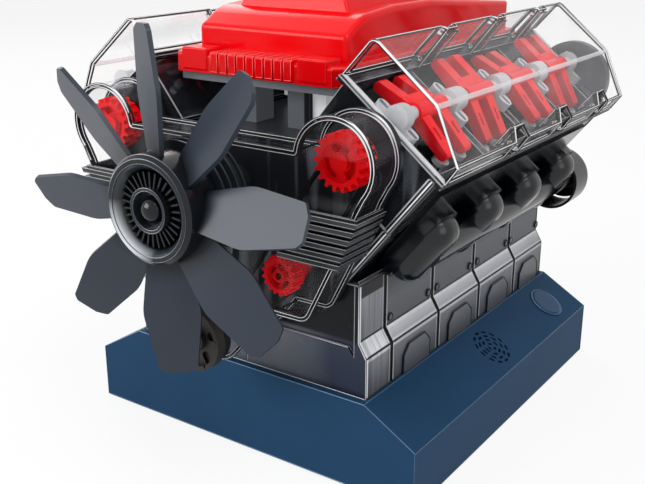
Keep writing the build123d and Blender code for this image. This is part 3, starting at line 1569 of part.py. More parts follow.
def make_intake_cover():
    z = intake_low_height
    top = z + intake_ledge_height
    body = push_z(intake_plan(0), z, top)
    body = fillet(body.edges().group_by(Axis.Z)[-1], intake_ledge_round)
    plenum = push_x(plenum_side(0), -plenum_half, plenum_half)
    flanks = plenum.faces().filter_by(Axis.X)
    rims = [e for f in flanks for e in f.edges() if e.center().Z > z + intake_ledge_height / 2 + shaft_gap]
    plenum = fillet(rims, plenum_side_round)
    body = body + plenum
    for side in (-1, 1):
        x0 = min(side * intake_block_inner, side * intake_block_outer)
        x1 = max(side * intake_block_inner, side * intake_block_outer)
        block = slab(x0, x1, -intake_front - intake_rib_rise / 2, -intake_front + intake_block_depth,
                     z + intake_wall / 2, top + intake_block_rise)
        body = body + fillet(block.edges(), intake_block_round)
    pitch = 2 * (intake_block_inner - intake_wall) / intake_rib_count
    for k in range(intake_rib_count):
        x = (k - (intake_rib_count - 1) / 2) * pitch
        half = pitch * intake_rib_share / 2
        rib = slab(x - half, x + half, -intake_front - intake_rib_rise, -plenum_front + intake_rib_rise,
                   z + intake_wall / 2, top + intake_rib_rise)
        brow = rib.edges().filter_by(Axis.X).group_by(Axis.Z)[-1].sort_by(Axis.Y)[0]
        body = body + fillet(brow, intake_rib_round)
    lean = scoop_side_lean
    low = z + plenum_tail_height - 2 * intake_wall
    scoop = outline([
        (-scoop_front, low), (-scoop_front + lean, z + scoop_height), (0, z + scoop_height),
        (scoop_rear, z + scoop_tail_height), (scoop_rear, low)])
    wedge = push_x(scoop, -scoop_half, scoop_half)
    trim = outline([
        (-scoop_half, low), (-scoop_half, z + plenum_shoulder_height), (-scoop_half + lean,
                                                                        z + scoop_height + cut_over),
        (scoop_half - lean, z + scoop_height + cut_over), (scoop_half,
                                                           z + plenum_shoulder_height), (scoop_half, low)])
    hood = wedge & push_y(trim, -intake_front, intake_rear)
    brows = [e for e in hood.edges() if e.center().Z > z + plenum_crown_height]
    body = body + fillet(brows, scoop_round)
    space = push_z(intake_plan(intake_wall), z - cut_over, top - intake_wall)
    room = push_x(plenum_side(intake_wall), -plenum_half + intake_wall, plenum_half - intake_wall)
    return body - space - room


def make_intake_manifold():
    top = intake_low_height
    tray = slab(-tray_half, tray_half, -tray_front, tray_rear, top - tray_thick, top)
    well = slab(-tray_half + 2 * intake_wall, tray_half - 2 * intake_wall, -tray_front + 2 * intake_wall,
                tray_rear - 2 * intake_wall, top - tray_thick / 2, top + cut_over)
    body = tray - well
    t, u = sin(radians(bank_tilt)), cos(radians(bank_tilt))

    def inner_wall_x(height):
        reach = (height - crank_height - block_half * t) / u
        return reach * t - block_half * u

    z0 = valley_plate_height
    z1 = z0 + valley_plate_thick
    gap = seat_gap / u
    plate = outline([
        (-inner_wall_x(z0) + gap, z0), (inner_wall_x(z0) - gap, z0),
        (inner_wall_x(z1) - gap, z1), (-inner_wall_x(z1) + gap, z1)])
    body = body + push_y(plate, -case_front, case_rear)
    for y in cylinder_ys:
        for side in (-1, 1):
            x0, x1 = sorted((side * runner_inner, side * runner_outer))
            body = body + slab(x0, x1, y - runner_length / 2, y + runner_length / 2,
                               z1 - valley_plate_thick / 2,
                               top - tray_thick / 2)
            x0, x1 = sorted((side * (runner_outer - seat_gap), side * stub_outer))
            body = body + slab(x0, x1, y - stub_length / 2, y + stub_length / 2, z1 + stub_length / 2,
                               top - tray_thick / 2)
    return body


def main():
    os.makedirs("parts", exist_ok=True)
    save("base_shell", make_base_shell())
    save("base_plate", make_base_plate())
    save("battery_door", make_battery_door())
    save("batteries", make_batteries())
    save("speaker", make_speaker())
    save("sound_button", make_sound_button())
    case_half = make_crankcase_half()
    save("crankcase_right", case_half)
    save("crankcase_left", flipped(case_half))
    save("drive_motor", make_drive_motor())
    save("crankshaft", make_crankshaft())
    save("rods_outer", make_rods((0, 3)))
    save("rods_inner", make_rods((1, 2)))
    for name, side in (("right", 1), ("left", -1)):
        save("pistons_" + name + "_outer", make_pistons((0, 3), side))
        save("pistons_" + name + "_inner", make_pistons((1, 2), side))
    save("engine_block", make_engine_block())
    save("cylinder_liners", make_liners())
    head = make_head()
    save("head_right", head)
    save("head_left", flipped(head))
    cover = make_valve_cover()
    save("valve_cover_right", cover)
    save("valve_cover_left", flipped(cover))
    save("screws", make_screws())
    save("rocker_caps", make_caps())
    save("rocker_shafts", make_rocker_shafts())
    for k in range(4):
        rocker = make_rocker(k)
        save("rocker_right_" + str(k + 1), rocker)
        save("rocker_left_" + str(k + 1), flipped(rocker))
        valves = make_valves(k)
        save("valves_right_" + str(k + 1), valves)
        save("valves_left_" + str(k + 1), flipped(valves))
    camshaft = make_camshaft()
    save("camshaft_right", camshaft)
    save("camshaft_left", flipped(camshaft))
    save("rear_drums", make_drums())
    save("timing_case", make_timing_case())
    save("timing_cover", make_timing_cover())
    fins = make_fin_block()
    save("fin_blocks", group([fins, flipped(fins)]))
    gear = make_cam_gear()
    save("cam_gear_right", gear)
    save("cam_gear_left", flipped(gear))
    idler = make_idler_gear()
    save("idler_gear_right", idler)
    save("idler_gear_left", flipped(idler))
    save("drive_belts", make_belts())
    save("crank_pulley", make_crank_pulley())
    save("fan", make_fan())
    save("fan_shaft", make_fan_shaft())
    exhaust = make_exhaust()
    save("exhaust_right", exhaust)
    save("exhaust_left", flipped(exhaust))
    save("intake_cover", make_intake_cover())
    save("intake_manifold", make_intake_manifold())


main()
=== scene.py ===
import json
import math

import bmesh
import bpy
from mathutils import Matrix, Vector

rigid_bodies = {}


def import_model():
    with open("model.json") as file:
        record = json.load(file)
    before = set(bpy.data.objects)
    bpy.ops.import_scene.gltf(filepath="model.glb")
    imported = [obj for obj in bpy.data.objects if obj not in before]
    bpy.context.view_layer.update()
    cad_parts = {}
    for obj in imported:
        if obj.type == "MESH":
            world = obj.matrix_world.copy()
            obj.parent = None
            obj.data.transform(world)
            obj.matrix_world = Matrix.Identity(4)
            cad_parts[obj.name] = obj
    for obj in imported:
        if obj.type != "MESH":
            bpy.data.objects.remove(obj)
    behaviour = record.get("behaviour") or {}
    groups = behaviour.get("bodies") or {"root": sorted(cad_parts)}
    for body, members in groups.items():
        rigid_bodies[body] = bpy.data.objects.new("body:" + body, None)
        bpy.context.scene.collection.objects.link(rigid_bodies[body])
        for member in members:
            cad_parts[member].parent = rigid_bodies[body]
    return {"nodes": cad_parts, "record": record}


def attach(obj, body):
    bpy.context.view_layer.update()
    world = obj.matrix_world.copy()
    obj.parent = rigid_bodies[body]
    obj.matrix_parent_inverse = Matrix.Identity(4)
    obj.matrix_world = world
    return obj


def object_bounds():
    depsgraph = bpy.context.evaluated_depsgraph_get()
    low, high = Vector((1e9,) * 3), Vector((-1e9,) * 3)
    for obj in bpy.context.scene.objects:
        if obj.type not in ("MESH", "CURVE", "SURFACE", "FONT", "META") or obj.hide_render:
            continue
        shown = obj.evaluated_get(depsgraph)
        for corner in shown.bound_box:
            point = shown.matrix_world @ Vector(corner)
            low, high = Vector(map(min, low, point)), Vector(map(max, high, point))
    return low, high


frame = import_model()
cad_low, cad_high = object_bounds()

MM = 0.001
NODES = frame["nodes"]
JOINTS = {row["name"]: row for row in frame["record"]["behaviour"]["joints"]}
SIDES = ((1, "right"), (-1, "left"))

# Heights of the axes, and the tilt of the banks
FAN_AXIS_Z = JOINTS["fan_spin"]["pos_m"][2]
CRANK_AXIS_Z = JOINTS["crank_spin"]["pos_m"][2]
BORE_AXIS = JOINTS["piston_right_outer_slide"]["axis"]
BANK_TILT = math.atan2(BORE_AXIS[0], BORE_AXIS[2])

# Places on the crankcase, in millimetres
CASE_LOW = 50.0
CASE_HIGH = 120.0
SEAM_FIRST = -89.0
SEAM_PITCH = 53.2
SEAM_REACH = 5.0
SEAMS_AHEAD = 4
LIP_FRONT = -118.0
LIP_BACK = -108.0
FRONT_DARK_AT = 58.0
FRONT_PALE_AT = 26.0


# Camera: its place in metres, its turn in degrees, its lens and sensor in millimetres
CAMERA_AT = (0.32131, -0.50183, 0.30020)
CAMERA_YAW = 34.82
CAMERA_DIP = 19.07
CAMERA_LENS = 53.75
CAMERA_SENSOR = 36.0


def add_camera():
    data = bpy.data.cameras.new("camera")
    data.lens = CAMERA_LENS
    data.sensor_width = CAMERA_SENSOR
    data.clip_start = 0.01
    data.clip_end = 20.0
    camera = bpy.data.objects.new("camera", data)
    yaw = math.radians(CAMERA_YAW)
    dip = math.radians(CAMERA_DIP)
    ahead = Vector((-math.sin(yaw) * math.cos(dip), math.cos(yaw) * math.cos(dip), -math.sin(dip)))
    camera.location = CAMERA_AT
    camera.rotation_mode = "QUATERNION"
    camera.rotation_quaternion = ahead.to_track_quat("-Z", "Y")
    bpy.context.collection.objects.link(camera)
    bpy.context.scene.camera = camera


add_camera()
bpy.context.scene.view_settings.view_transform = "Standard"


# Shader nodes
NOISE_ROUGH = 0.55
DRIFT_FROM = 0.35
DRIFT_TO = 0.65


def feed(tree, node, inputs):
    """Gives each named input a link, a number, a vector or a colour."""
    for name, value in inputs.items():
        socket = node.inputs[name]
        if isinstance(value, bpy.types.NodeSocket):
            tree.links.new(value, socket)
        elif socket.type == "RGBA":
            socket.default_value = (*value, 1)
        else:
            socket.default_value = value
    return node


def add_node(tree, kind, inputs):
    return feed(tree, tree.nodes.new("ShaderNode" + kind), inputs)


def surface_vector(tree, kind):
    """The place or the normal of the surface, in the object's own frame."""
    return tree.nodes.new("ShaderNodeTexCoord").outputs[kind]


def axis_value(tree, kind, axis):
    return add_node(tree, "SeparateXYZ", {"Vector": surface_vector(tree, kind)}).outputs[axis]


def math_value(tree, operation, *values):
    node = tree.nodes.new("ShaderNodeMath")
    node.operation = operation
    for place, value in enumerate(values):
        if isinstance(value, bpy.types.NodeSocket):
            tree.links.new(value, node.inputs[place])
        else:
            node.inputs[place].default_value = value
    return node.outputs[0]


def noise(tree, scale, detail, rough=NOISE_ROUGH, vector=None):
    if vector is None:
        vector = surface_vector(tree, "Object")
    inputs = {"Vector": vector, "Scale": scale, "Detail": detail, "Roughness": rough}
    return add_node(tree, "TexNoise", inputs).outputs["Fac"]


def streaks(tree, stretch, turn, detail, rough=0.5):
    """Noise with a scale of its own along each axis."""
    inputs = {"Vector": surface_vector(tree, "Object"), "Scale": stretch, "Rotation": turn}
    return noise(tree, 1.0, detail, rough, add_node(tree, "Mapping", inputs).outputs["Vector"])


def ranged(tree, source, to_low, to_high, low=0.0, high=1.0):
    """Carries a value between low and high over to another range, and holds it at the ends."""
    inputs = {"Value": source, "From Min": low, "From Max": high, "To Min": to_low, "To Max": to_high}
    return add_node(tree, "MapRange", inputs).outputs["Result"]


def between(tree, source, low, high):
    """0 at low and 1 at high, in the object's own millimetres."""
    return ranged(tree, source, 0.0, 1.0, low * MM, high * MM)


def toned(tree, source, stops, smooth=True):
    """A colour for each value, from stops that are each a place and a colour."""
    ramp = tree.nodes.new("ShaderNodeValToRGB")
    ramp.color_ramp.interpolation = "LINEAR" if smooth else "CONSTANT"
    marks = ramp.color_ramp.elements
    while len(marks) < len(stops):
        marks.new(0.5)
    for mark, (place, colour) in zip(marks, stops):
        mark.position = place
        mark.color = (*colour, 1)
    tree.links.new(source, ramp.inputs["Fac"])
    return ramp.outputs["Color"]


def mask(tree, source, stops, smooth=True):
    """A grey level for each value, from stops that are each a place and a level."""
    return toned(tree, source, [(place, (level,) * 3) for place, level in stops], smooth)


def drift(tree, scale, low, high):
    """A slow change between two colours over the surface."""
    return toned(tree, noise(tree, scale, detail=2.0), ((DRIFT_FROM, low), (DRIFT_TO, high)))


def mixed(tree, factor, first, second, blend="MIX"):
    mix = tree.nodes.new("ShaderNodeMix")
    mix.data_type = "RGBA"
    mix.blend_type = blend
    return feed(tree, mix, {"Factor": factor, "A": first, "B": second}).outputs["Result"]


def multiplied(tree, first, second):
    return mixed(tree, 1.0, first, second, "MULTIPLY")


def lin(r, g, b):
    """sRGB bytes as scene values."""
    out = []
    for v in (r, g, b):
        v = v / 255
        out.append(v / 12.92 if v <= 0.04045 else ((v + 0.055) / 1.055) ** 2.4)
    return tuple(out)


def cool(v):
    """A slightly blue grey of this sRGB level."""
    return lin(v, v + 2, v + 8)


# Kinds of material
DRIFT_SCALE = 18.0
CLEAR_DRIFT_SCALE = 30.0
ROUGH_SHARE = 0.12
GRAIN_DEPTH = 0.0002
MOULDED_GRAIN = 700.0
POLISHED_GRAIN = 500.0
CLEAR_VARY = 0.08
SLANT_POWER = 3.0
CLEAR_GLOSS = 0.25
STREAK_FROM = 0.52
STREAK_TO = 0.68
RIM_ROUGH = 0.2
RIM_GLOSS = 0.2
RIM_LEAN_Y = -0.15
RIM_LEAN_Z = 0.42
RIM_MIDDLE = 0.5
SMOKE_GLOSS = 0.2
BLACK = (0.002, 0.002, 0.003)
INK = (0.02, 0.021, 0.024)


def new_material(name):
    material = bpy.data.materials.new(name)
    material.use_nodes = True
    tree = material.node_tree
    return material, tree, tree.nodes["Principled BSDF"]


def plastic(name, colour, rough=0.35, vary=0.08, grain=900.0, bump=0.12, gloss=0.5, metallic=0.0):
    """Moulded plastic: a slow drift of colour, a fine grain, and roughness that varies with it."""
    material, tree, shader = new_material(name)
    low = [max(c * (1 - vary), 0) for c in colour]
    high = [min(c * (1 + vary), 1) for c in colour]
    fine = noise(tree, grain, detail=2.0)
    grained = add_node(tree, "Bump", {"Strength": bump, "Distance": GRAIN_DEPTH, "Height": fine})
    feed(tree, shader, {
        "Base Color": drift(tree, DRIFT_SCALE, low, high),
        "Roughness": ranged(tree, fine, rough * (1 - ROUGH_SHARE), rough * (1 + ROUGH_SHARE)),
        "Normal": grained.outputs["Normal"],
        "Specular IOR Level": gloss,
        "Metallic": metallic,
    })
    return material


def metal(name, colour, rough):
    return plastic(name, colour, rough, vary=0.06, grain=POLISHED_GRAIN, bump=0.08, metallic=1.0)


def clear(name, colour, face_on, edge_on, rough=0.06, metallic=1.0, streak=0.0):
    """Clear moulded plastic as a skin of reflection: open when seen square on, and closing at a slant.

    face_on and edge_on are how much it covers, seen square on and along the surface.
    """
    material, tree, shader = new_material(name)
    low = [c * (1 - CLEAR_VARY) for c in colour]
    high = [min(c * (1 + CLEAR_VARY), 1) for c in colour]
    facing = add_node(tree, "LayerWeight", {"Blend": 0.5}).outputs["Facing"]
    cover = ranged(tree, math_value(tree, "POWER", facing, SLANT_POWER), face_on, edge_on)
    if streak:
        brush = streaks(tree, stretch=(90.0, 9.0, 30.0), turn=(0.3, 0.5, 0.2), detail=3.0)
        haze = ranged(tree, brush, 0.0, streak, STREAK_FROM, STREAK_TO)
        cover = math_value(tree, "ADD", cover, haze)
    feed(tree, shader, {
        "Base Color": drift(tree, CLEAR_DRIFT_SCALE, low, high),
        "Alpha": cover,
        "Roughness": rough,
        "Metallic": metallic,
        "Specular IOR Level": CLEAR_GLOSS,
    })
    return material


def rim_plastic(name, stops, sideways=-0.3):
    """The thick edge of clear plastic, banded in black and white as painted reflections and shade: its colour
    follows the direction its surface faces, not the lamps.
    """
    material, tree, shader = new_material(name)
    # Painted highlight and shade: the surface is lighter where it faces a fixed direction and darker where it
    # faces away.
    painted_light_side = tree.nodes.new("ShaderNodeVectorMath")
    painted_light_side.operation = "DOT_PRODUCT"
    painted_light_side.inputs[1].default_value = (sideways, RIM_LEAN_Y, RIM_LEAN_Z)
    tree.links.new(surface_vector(tree, "Normal"), painted_light_side.inputs[0])
    level = math_value(tree, "ADD", painted_light_side.outputs["Value"], RIM_MIDDLE)
    feed(tree, shader, {
        "Base Color": toned(tree, level, stops),
        "Roughness": RIM_ROUGH,
        "Specular IOR Level": RIM_GLOSS,
    })
    return material


def smoke(name, dark, light, cover, rough):
    """Smoked plastic: dark, with painted glints, long pale streaks in its colour that stand in for the light
    its ribs and walls throw.
    """
    material, tree, shader = new_material(name)
    tint = dark
    for turn in ((0.3, 0.6, 0.2), (1.1, -0.5, 0.2)):
        brush = streaks(tree, stretch=(90.0, 34.0, 9.0), turn=turn, detail=2.0)
        # Painted glints: pale streaks mixed into the dark colour.
        tint = mixed(tree, mask(tree, brush, ((0.58, 0.0), (0.7, 1.0))), tint, light)
    feed(tree, shader, {
        "Base Color": tint,
        "Alpha": cover,
        "Roughness": rough,
        "Specular IOR Level": SMOKE_GLOSS,
    })
    return material


# Crankcase: sRGB levels by height in millimetres, for its sides, its front corners and its front
# The greys of the sides and corners carry painted reflections: the bright bands along the chamfer and beside
# the dark lines are painted highlights.
SIDE_GREYS_WITH_PAINTED_REFLECTIONS = (
    (50, 52), (60, 84), (74.5, 112), (75.6, 190), (76.6, 190), (76.9, 10), (77.9, 10), (78.3, 232),
    (79.5, 178), (83.4, 214), (84.6, 246), (85.2, 246), (85.5, 12), (86.5, 12), (86.9, 84), (100, 96),
    (118, 62))
CORNER_GREYS_WITH_PAINTED_REFLECTIONS = (
    (50, 70), (74.5, 128), (75.6, 215), (76.6, 215), (76.9, 10), (77.9, 10), (78.3, 240), (84.6, 232),
    (85.2, 250), (85.5, 12), (86.5, 12), (86.9, 120), (98, 134), (109.6, 150), (110.4, 12), (118, 12))
FRONT_TONES = (
    (50, (30, 36, 52)), (70, (38, 46, 66)), (84, (52, 58, 74)), (86, (20, 22, 26)), (118, (24, 26, 31)))
MIDDLE_TONES = ((50, (70, 75, 86)), (84, (112, 116, 124)), (86, (26, 28, 33)), (118, (30, 32, 37)))
FACES_FRONT = -0.7


def by_height(tree, tones):
    """Colours up the crankcase, each at its height in millimetres."""
    height = between(tree, axis_value(tree, "Object", "Z"), CASE_LOW, CASE_HIGH)
    return toned(tree, height, [((z - CASE_LOW) / (CASE_HIGH - CASE_LOW), colour) for z, colour in tones])


def case_corner(tree, along):
    """The front corners: brushed greys with painted highlight bands, a dark lip at the very front and a
    painted highlight just behind it.
    """
    brush = streaks(tree, stretch=(2.0, 420.0, 9.0), turn=(0.0, 0.0, 0.0), detail=2.0, rough=NOISE_ROUGH)
    shade = by_height(tree, [(z, cool(v)) for z, v in CORNER_GREYS_WITH_PAINTED_REFLECTIONS])
    shade = multiplied(tree, shade, mask(tree, brush, ((0.35, 0.55), (0.6, 1.0))))
    edge = between(tree, along, LIP_FRONT, LIP_BACK)
    behind = mask(tree, edge, ((0.0, 0.0), (0.36, 0.0), (0.38, 1.0)))
    shade = mixed(tree, behind, lin(6, 7, 9), shade)
    # Painted highlight: a pale band just behind the lip.
    painted_highlight = mask(tree, edge, ((0.36, 0.0), (0.40, 1.0), (0.46, 1.0), (0.52, 0.0)))
    return mixed(tree, painted_highlight, shade, lin(235, 237, 242))


def case_front(tree):
    """The front: dark at its sides and paler in the middle."""
    dark = by_height(tree, [(z, lin(*c)) for z, c in FRONT_TONES])
    pale = by_height(tree, [(z, lin(*c)) for z, c in MIDDLE_TONES])
    out = math_value(tree, "ABSOLUTE", axis_value(tree, "Object", "X"))
    return mixed(tree, between(tree, out, FRONT_DARK_AT, FRONT_PALE_AT), dark, pale)


def seamed(tree, along, shade):
    """Dark seams at an even pitch, each with a painted highlight along both its sides."""
    start = math_value(tree, "SUBTRACT", along, (SEAM_FIRST - SEAM_PITCH / 2) * MM)
    ahead = math_value(tree, "ADD", start, SEAMS_AHEAD * SEAM_PITCH * MM)
    cell = math_value(tree, "MODULO", ahead, SEAM_PITCH * MM)
    offset = math_value(tree, "SUBTRACT", cell, SEAM_PITCH / 2 * MM)
    near = between(tree, offset, -SEAM_REACH, SEAM_REACH)
    gap = mask(tree, near, ((0.33, 0.0), (0.34, 1.0), (0.66, 1.0), (0.67, 0.0)), smooth=False)
    # Painted highlights: pale bands along both sides of each seam.
    painted_glint = mask(tree, near, ((0.22, 0.0), (0.30, 0.45), (0.35, 0.0), (0.66, 0.0), (0.70, 0.9), (0.76, 0.0)))
    shade = mixed(tree, painted_glint, shade, lin(228, 230, 236))
    return mixed(tree, gap, shade, lin(5, 6, 8))


def case_plastic():
    """The crankcase: smoked plastic, banded in height with painted highlights and reflections that give it an
    almost metallic look, and split by dark seams.
    """
    material, tree, shader = new_material("case_smoked")
    along = axis_value(tree, "Object", "Y")
    side = by_height(tree, [(z, cool(v)) for z, v in SIDE_GREYS_WITH_PAINTED_REFLECTIONS])
    ahead_of_seams = math_value(tree, "LESS_THAN", along, SEAM_FIRST * MM)
    shade = seamed(tree, along, mixed(tree, ahead_of_seams, side, case_corner(tree, along)))
    facing = math_value(tree, "LESS_THAN", axis_value(tree, "Normal", "Y"), FACES_FRONT)
    feed(tree, shader, {
        "Base Color": mixed(tree, facing, shade, case_front(tree)),
        "Roughness": ranged(tree, noise(tree, scale=60.0, detail=3.0), 0.16, 0.34),
        "Specular IOR Level": 0.14,
    })
    return material


# Fan: colours by distance from its axis, as shares of this reach in millimetres
FAN_REACH = 40.0
DIAGONAL = 0.7071
FAN_TONES = (
    (0.0, (12, 14, 17)), (0.175, (14, 16, 19)), (0.19, (38, 43, 50)), (0.28, (34, 39, 45)),
    (0.30, (8, 9, 11)), (0.42, (20, 23, 27)), (0.49, (8, 9, 11)), (0.55, (52, 58, 66)),
    (0.60, (22, 26, 31)), (0.70, (16, 19, 24)), (0.71, (15, 19, 25)), (1.0, (42, 50, 62)))


def fan_plastic():
    """Slate blades, a lighter polished ring with a painted highlight on its lower left, and a dark cone, fins
    and nose, by distance from the axis.
    """
    material, tree, shader = new_material("slate_fan")
    across = axis_value(tree, "Object", "X")
    up = math_value(tree, "SUBTRACT", axis_value(tree, "Object", "Z"), FAN_AXIS_Z)
    squares = [math_value(tree, "MULTIPLY", value, value) for value in (across, up)]
    distance = math_value(tree, "SQRT", math_value(tree, "ADD", *squares))
    reach = between(tree, distance, 0.0, FAN_REACH)
    tint = toned(tree, reach, [(place, lin(*c)) for place, c in FAN_TONES])
    # Painted highlight: a pale patch on the lower left of the ring, fixed in the fan's own frame so that it
    # turns with the fan.
    low_left = math_value(tree, "MULTIPLY", math_value(tree, "ADD", across, up), -DIAGONAL)
    turn = math_value(tree, "DIVIDE", low_left, math_value(tree, "MAXIMUM", distance, MM))
    painted_highlight = mask(tree, turn, ((0.62, 0.0), (0.98, 0.85)))
    ring = mask(tree, reach, ((0.5, 0.0), (0.56, 1.0), (0.66, 1.0), (0.7, 0.0)))
    tint = mixed(tree, multiplied(tree, painted_highlight, ring), tint, lin(214, 218, 224))
    feed(tree, shader, {
        "Base Color": multiplied(tree, tint, drift(tree, DRIFT_SCALE, (0.9,) * 3, (1.0,) * 3)),
        "Roughness": mask(tree, reach, ((0.0, 0.1), (0.68, 0.16), (0.72, 0.34))),
        "Specular IOR Level": 0.3,
    })
    return material


# Intake manifold: sRGB colours by distance from the middle, as shares of this reach in millimetres
RISER_REACH = 60.0
RISER_TONES = (
    (0.0, (86, 89, 94)), (0.36, (92, 95, 100)), (0.37, (8, 9, 10)), (0.42, (8, 9, 10)),
    (0.43, (240, 240, 242)), (0.57, (240, 240, 242)), (0.58, (100, 103, 108)), (1.0, (112, 115, 120)))
RISER_FOOT = (187.6, 187.9)
RISER_RAIL = (209.8, 210.4)


def riser_plastic():
    """Grey runners with paler stubs outside them, over a dark valley plate and under a grey rail, with a
    faint painted glow that lights them in the shade of the intake cover.
    """
    material, tree, shader = new_material("riser_grey")
    height = axis_value(tree, "Object", "Z")
    out = math_value(tree, "ABSOLUTE", axis_value(tree, "Object", "X"))
    tint = toned(tree, between(tree, out, 0.0, RISER_REACH), [(place, lin(*c)) for place, c in RISER_TONES])
    shade = mixed(tree, between(tree, height, *RISER_FOOT), lin(34, 37, 42), tint)
    shade = mixed(tree, between(tree, height, *RISER_RAIL), shade, lin(98, 101, 106))
    feed(tree, shader, {
        "Base Color": shade,
        # Painted light: the runners glow faintly, as if lit, where the intake cover leaves them in shade.
        "Emission Color": shade,
        "Emission Strength": 0.3,
        "Roughness": ranged(tree, noise(tree, scale=500.0, detail=2.0), 0.3, 0.4),
        "Specular IOR Level": 0.25,
    })
    return material


# Materials of the nodes
navy = plastic(
    "navy_base", lin(30, 62, 92), rough=0.5, vary=0.05, grain=MOULDED_GRAIN, bump=0.10, gloss=0.06)
navy_button = plastic(
    "navy_button", lin(30, 64, 98), rough=0.3, vary=0.04, grain=MOULDED_GRAIN, bump=0.05, gloss=0.15)
dark_plastic = plastic("dark_plastic", lin(22, 23, 25), rough=0.5, gloss=0.2)
red = plastic(
    "red_gloss", lin(226, 4, 12), rough=0.16, vary=0.05, grain=POLISHED_GRAIN, bump=0.04, gloss=0.14)
rocker_red = plastic(
    "rocker_red", lin(250, 22, 32), rough=0.25, vary=0.05, grain=POLISHED_GRAIN, bump=0.04, gloss=0.12)
red_gear = plastic(
    "red_gear", lin(232, 10, 18), rough=0.3, vary=0.06, grain=POLISHED_GRAIN, bump=0.06, gloss=0.1)
slate = fan_plastic()
drum_slate = plastic(
    "slate_drum", lin(44, 50, 57), rough=0.3, vary=0.06, grain=POLISHED_GRAIN, bump=0.06, gloss=0.3)
black = plastic("black_satin", lin(4, 8, 14), rough=0.2, grain=POLISHED_GRAIN, bump=0.05, gloss=0.42)
cap_grey = plastic("cap_grey", lin(206, 207, 211), rough=0.32, gloss=0.25)
mid_grey = plastic("mid_grey", lin(98, 102, 108), rough=0.35, gloss=0.25)
drum_grey = plastic("drum_grey", lin(52, 56, 62), rough=0.38, gloss=0.15)
fin_grey = plastic("fin_grey", lin(52, 54, 58), rough=0.2, vary=0.2, grain=300.0, bump=0.1, gloss=0.3)
brown_grey = plastic("brown_grey", lin(46, 43, 41), rough=0.42, gloss=0.25)
rubber = plastic("belt_rubber", lin(22, 22, 23), rough=0.7, gloss=0.2)
steel = metal("bright_steel", (0.62, 0.62, 0.64), rough=0.22)
dark_steel = metal("dark_steel", (0.35, 0.35, 0.37), rough=0.35)
cell_wrap = plastic("cell_wrap", lin(60, 62, 66), rough=0.3)
riser_grey = riser_plastic()
case_smoke = case_plastic()
clear_light = clear("clear_light", (0.9, 0.9, 0.92), face_on=0.012, edge_on=0.24, streak=0.03)
clear_front = clear("clear_front", (0.42, 0.43, 0.46), face_on=0.012, edge_on=0.24, streak=0.03)
clear_smoke = smoke("clear_smoke", lin(27, 30, 35), lin(96, 100, 106), cover=0.8, rough=0.18)
dark_smoke = smoke("dark_smoke", lin(34, 37, 42), lin(112, 116, 122), cover=0.94, rough=0.3)

# Materials of the rods along edges and folds, most of them banded with painted highlight and shade by the
# direction each surface faces
rim_light = rim_plastic("rim_light", (
    (0.34, BLACK), (0.44, INK), (0.5, (0.82, 0.83, 0.85)), (0.66, (0.94, 0.94, 0.96)),
    (0.74, (0.5, 0.5, 0.52)), (0.8, INK)))
rim_smoke = rim_plastic("rim_smoke", (
    (0.42, BLACK), (0.54, INK), (0.62, (0.78, 0.79, 0.81)), (0.76, (0.86, 0.87, 0.89)), (0.82, INK)))
rim_dark = rim_plastic("rim_dark", ((0.5, BLACK), (0.62, (0.26, 0.27, 0.29)), (0.8, (0.4, 0.41, 0.43))))
rim_red = rim_plastic("rim_red", (
    (0.5, lin(160, 0, 6)), (0.66, lin(228, 6, 14)), (0.8, lin(250, 74, 72)), (0.9, lin(255, 130, 124))))
rim_navy = rim_plastic("rim_navy", (
    (0.5, lin(24, 52, 80)), (0.7, lin(62, 92, 122)), (0.85, lin(104, 134, 164))))
fold_haze = clear("fold_haze", (0.92, 0.92, 0.94), face_on=0.3, edge_on=0.6, rough=0.3, metallic=0.0)
rim_hub = rim_plastic("rim_hub", (
    (0.55, lin(20, 23, 27)), (0.8, lin(92, 99, 108)), (0.95, lin(196, 200, 206))))
rim_case = rim_plastic("rim_case", (
    (0.62, BLACK), (0.76, lin(120, 122, 128)), (0.88, lin(226, 228, 232))), sideways=0.3)
bar_clear = rim_plastic("bar_clear", (
    (0.1, BLACK), (0.2, lin(70, 73, 78)), (0.32, lin(150, 153, 158)), (0.36, BLACK), (0.5, INK),
    (0.55, (0.9, 0.9, 0.92)), (0.66, (0.92, 0.92, 0.94)), (0.7, lin(60, 63, 68)), (0.84, BLACK), (0.9, BLACK),
    (0.93, lin(210, 212, 216))), sideways=-0.42)
# Near-black rods: along the inner creases of the clear mouldings they are painted shade; along the crankcase
# grooves they outline the seams.
rim_black = plastic("rim_black", lin(8, 9, 11), rough=0.2, gloss=0.3)


# The nodes' looks
LOOKS = {
    "base_shell": navy, "base_plate": navy, "battery_door": navy, "batteries": cell_wrap,
    "speaker": dark_plastic, "sound_button": navy_button, "drive_motor": dark_steel, "crankshaft": steel,
    "rods_outer": mid_grey, "rods_inner": mid_grey, "screws": steel, "rocker_caps": cap_grey,
    "rocker_shafts": cap_grey, "camshaft_right": mid_grey, "camshaft_left": mid_grey, "rear_drums": drum_grey,
    "fin_blocks": fin_grey, "cam_gear_right": red_gear, "cam_gear_left": red_gear,
    "idler_gear_right": red_gear, "idler_gear_left": red_gear, "drive_belts": rubber,
    "crank_pulley": brown_grey, "fan": slate, "fan_shaft": drum_slate, "exhaust_right": black,
    "exhaust_left": black, "intake_cover": red, "intake_manifold": riser_grey, "crankcase_right": case_smoke,
    "crankcase_left": case_smoke, "cylinder_liners": clear_smoke, "engine_block": clear_smoke,
    "head_right": clear_smoke, "head_left": clear_smoke, "timing_case": dark_smoke,
    "timing_cover": clear_front, "valve_cover_right": clear_light, "valve_cover_left": clear_light,
}
SOFT_ANGLE = 35.0


def paint(node, material):
    obj = NODES[node]
    if not obj.material_slots:
        obj.data.materials.append(None)
    obj.material_slots[0].material = material


